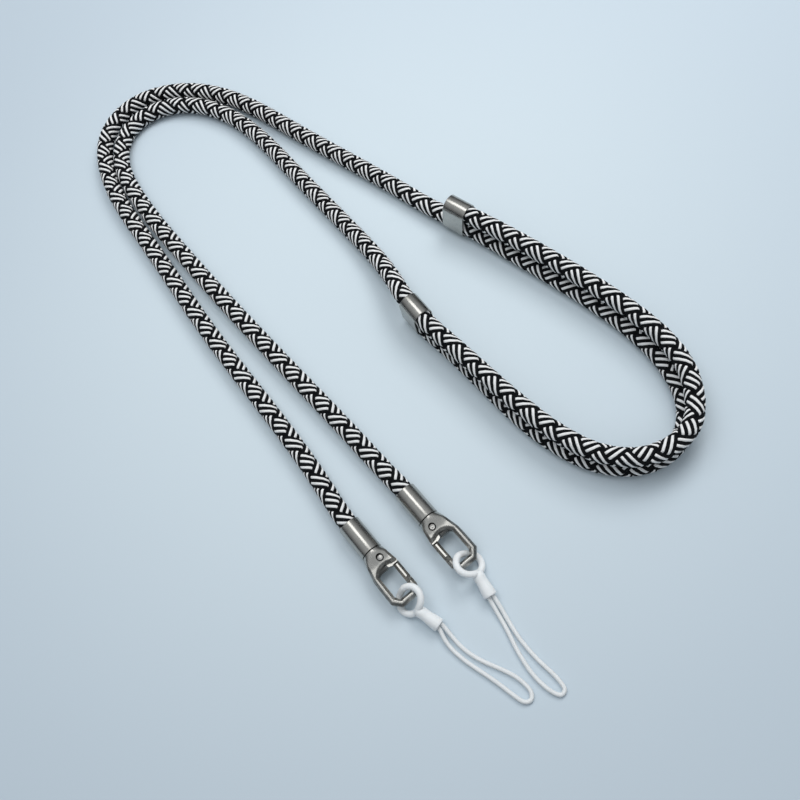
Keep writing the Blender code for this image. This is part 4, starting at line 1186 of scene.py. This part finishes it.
# %% Rings and sleeves
for side in ("left", "right"):
    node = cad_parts[f"tether_ring_{side}"]
    ring = add_object(f"soft_ring_{side}", node.data.copy())
    ring.matrix_world = node.matrix_world.copy()
    ring.data.materials.clear()
    ring.data.materials.append(SOFT_WHITE)
    melt = ring.modifiers.new("Melt", "REMESH")
    melt.mode = "VOXEL"
    melt.voxel_size = VOXEL
    soften = ring.modifiers.new("Soften", "SMOOTH")
    soften.factor = 0.5
    soften.iterations = 6
    bpy.context.view_layer.update()
    evaluated = ring.evaluated_get(bpy.context.evaluated_depsgraph_get())
    skin = bpy.data.meshes.new_from_object(evaluated)
    ring.modifiers.clear()
    ring.data = skin
    middle = Vector((*RING_MIDDLE[side], 0.0)) + Vector(CENTRING)
    for vertex, normal in [(v, v.normal.copy()) for v in skin.vertices]:
        gap = math.hypot(vertex.co.x - middle.x, vertex.co.y - middle.y)
        share = float(easing((gap - RING_REACH) / WEB_RUN))
        vertex.co += normal * (RING_SKIN + (SLEEVE_SKIN - RING_SKIN) * share)
        vertex.co.z = max(vertex.co.z, LOWEST_SKIN)
    skin.shade_smooth()
    dress(ring, f"tether_ring_{side}", f"clip_{side}")
    print(ring.name, len(skin.polygons) * 2, "triangles")

# %% [markdown]
# ## Floor and light
# The strap lies on a smooth pale blue-grey surface. The light is large and soft and comes from the
# upper right of the picture, so the shadows are faint and fall to the lower left. A photographer hangs
# a narrow white card over small metal pieces, for one clean highlight. Here a light that only metal
# shows does that, so that highlight and shadows can be set apart.

# %% Floor
FLOOR_SIZE = 4.0
FLOOR_MIDDLE = (0.0, 0.0, 0.0)
# a painted pool of light: the floor's colour is palest in the middle and painted darker further out
NEAR, FAR = 0.05, 0.28     # the floor grows darker between these distances from its middle
LIT_MIDDLE_COLOUR, SHADED_EDGE_COLOUR = (0.595, 0.685, 0.745), (0.510, 0.595, 0.672)
MOTTLE = 0.04


def floor_material():
    """Pale matt surface with a very slight mottle and a painted pool of light, palest round the strap.
    """
    material, tree, shader = new_material("pale_surface", {"Roughness": 0.6})
    mottle = add_node(tree, "ShaderNodeTexNoise", Scale=14.0, Detail=3.0)
    place = add_node(tree, "ShaderNodeTexCoord")
    gap = add_node(tree, "ShaderNodeVectorMath", operation="DISTANCE")
    join(tree, place.outputs["Object"], gap.inputs[0])
    gap.inputs[1].default_value = FLOOR_MIDDLE
    # painted pool of light: the colour fades from the lit middle to painted shade further out
    fall = add_node(tree, "ShaderNodeMapRange", interpolation_type="SMOOTHSTEP",
                    **{"From Min": NEAR, "From Max": FAR})
    join(tree, gap.outputs["Value"], fall.inputs["Value"])
    shade = add_node(tree, "ShaderNodeVectorMath", operation="SCALE")
    join(tree, ramp(tree, fall.outputs["Result"], LIT_MIDDLE_COLOUR, SHADED_EDGE_COLOUR), shade.inputs[0])
    grain = math_node(tree, "MULTIPLY", mottle.outputs["Fac"], MOTTLE)
    join(tree, math_node(tree, "ADD", grain, 1.0 - MOTTLE / 2), shade.inputs["Scale"])
    join(tree, shade.outputs["Vector"], shader.inputs["Base Color"])
    return material


bpy.ops.mesh.primitive_plane_add(size=FLOOR_SIZE, location=(0, 0, 0))
floor = bpy.context.object
floor.name = "floor"
floor.data.materials.append(floor_material())
print("floor at the height", floor.location.z)


# %% Light
def area_light(name, place, aim, sizes, power, colour, for_metal):
    """A rectangular light that is seen either in metal alone or everywhere but in metal."""
    data = bpy.data.lights.new(name, "AREA")
    data.shape = "RECTANGLE"
    data.size, data.size_y = sizes
    data.energy = power
    data.color = colour
    lamp = add_object(name, data)
    lamp.location = place
    lamp.rotation_euler = (Vector(aim) - Vector(place)).to_track_quat("-Z", "Y").to_euler()
    lamp.visible_glossy = for_metal
    lamp.visible_diffuse = not for_metal
    return lamp


area_light("key_light", place=(0.46, 0.16, 0.60), aim=(0.02, 0.0, 0.0), sizes=(0.38, 0.38),
           power=2.75, colour=(1.0, 0.985, 0.96), for_metal=False)
area_light("top_light", place=(-0.02, 0.28, 0.85), aim=(0.0, 0.03, 0.0), sizes=(0.6, 0.6),
           power=2.7, colour=(0.96, 0.98, 1.0), for_metal=False)
area_light("card", place=(0.06, 0.28, 0.85), aim=(0.06, 0.03, 0.0), sizes=(0.34, 0.5),
           power=1.25, colour=(1.0, 1.0, 0.99), for_metal=True)


# %% Sky
SKY_STRENGTH = 0.65


def sky():
    """Soft light from all round, brighter overhead."""
    world = bpy.data.worlds.new("soft_sky")
    world.use_nodes = True
    tree = world.node_tree
    place = add_node(tree, "ShaderNodeTexCoord")
    parts = add_node(tree, "ShaderNodeSeparateXYZ")
    join(tree, place.outputs["Generated"], parts.inputs[0])
    colour = ramp(tree, parts.outputs["Z"], (0.05, 0.055, 0.06), (0.93, 0.97, 1.0), 0.10, 0.85)
    background = tree.nodes["Background"]
    join(tree, colour, background.inputs["Color"])
    background.inputs["Strength"].default_value = SKY_STRENGTH
    return world


bpy.context.scene.world = sky()
bpy.context.scene.view_settings.view_transform = "Standard"
print("sky", bpy.context.scene.world.name)
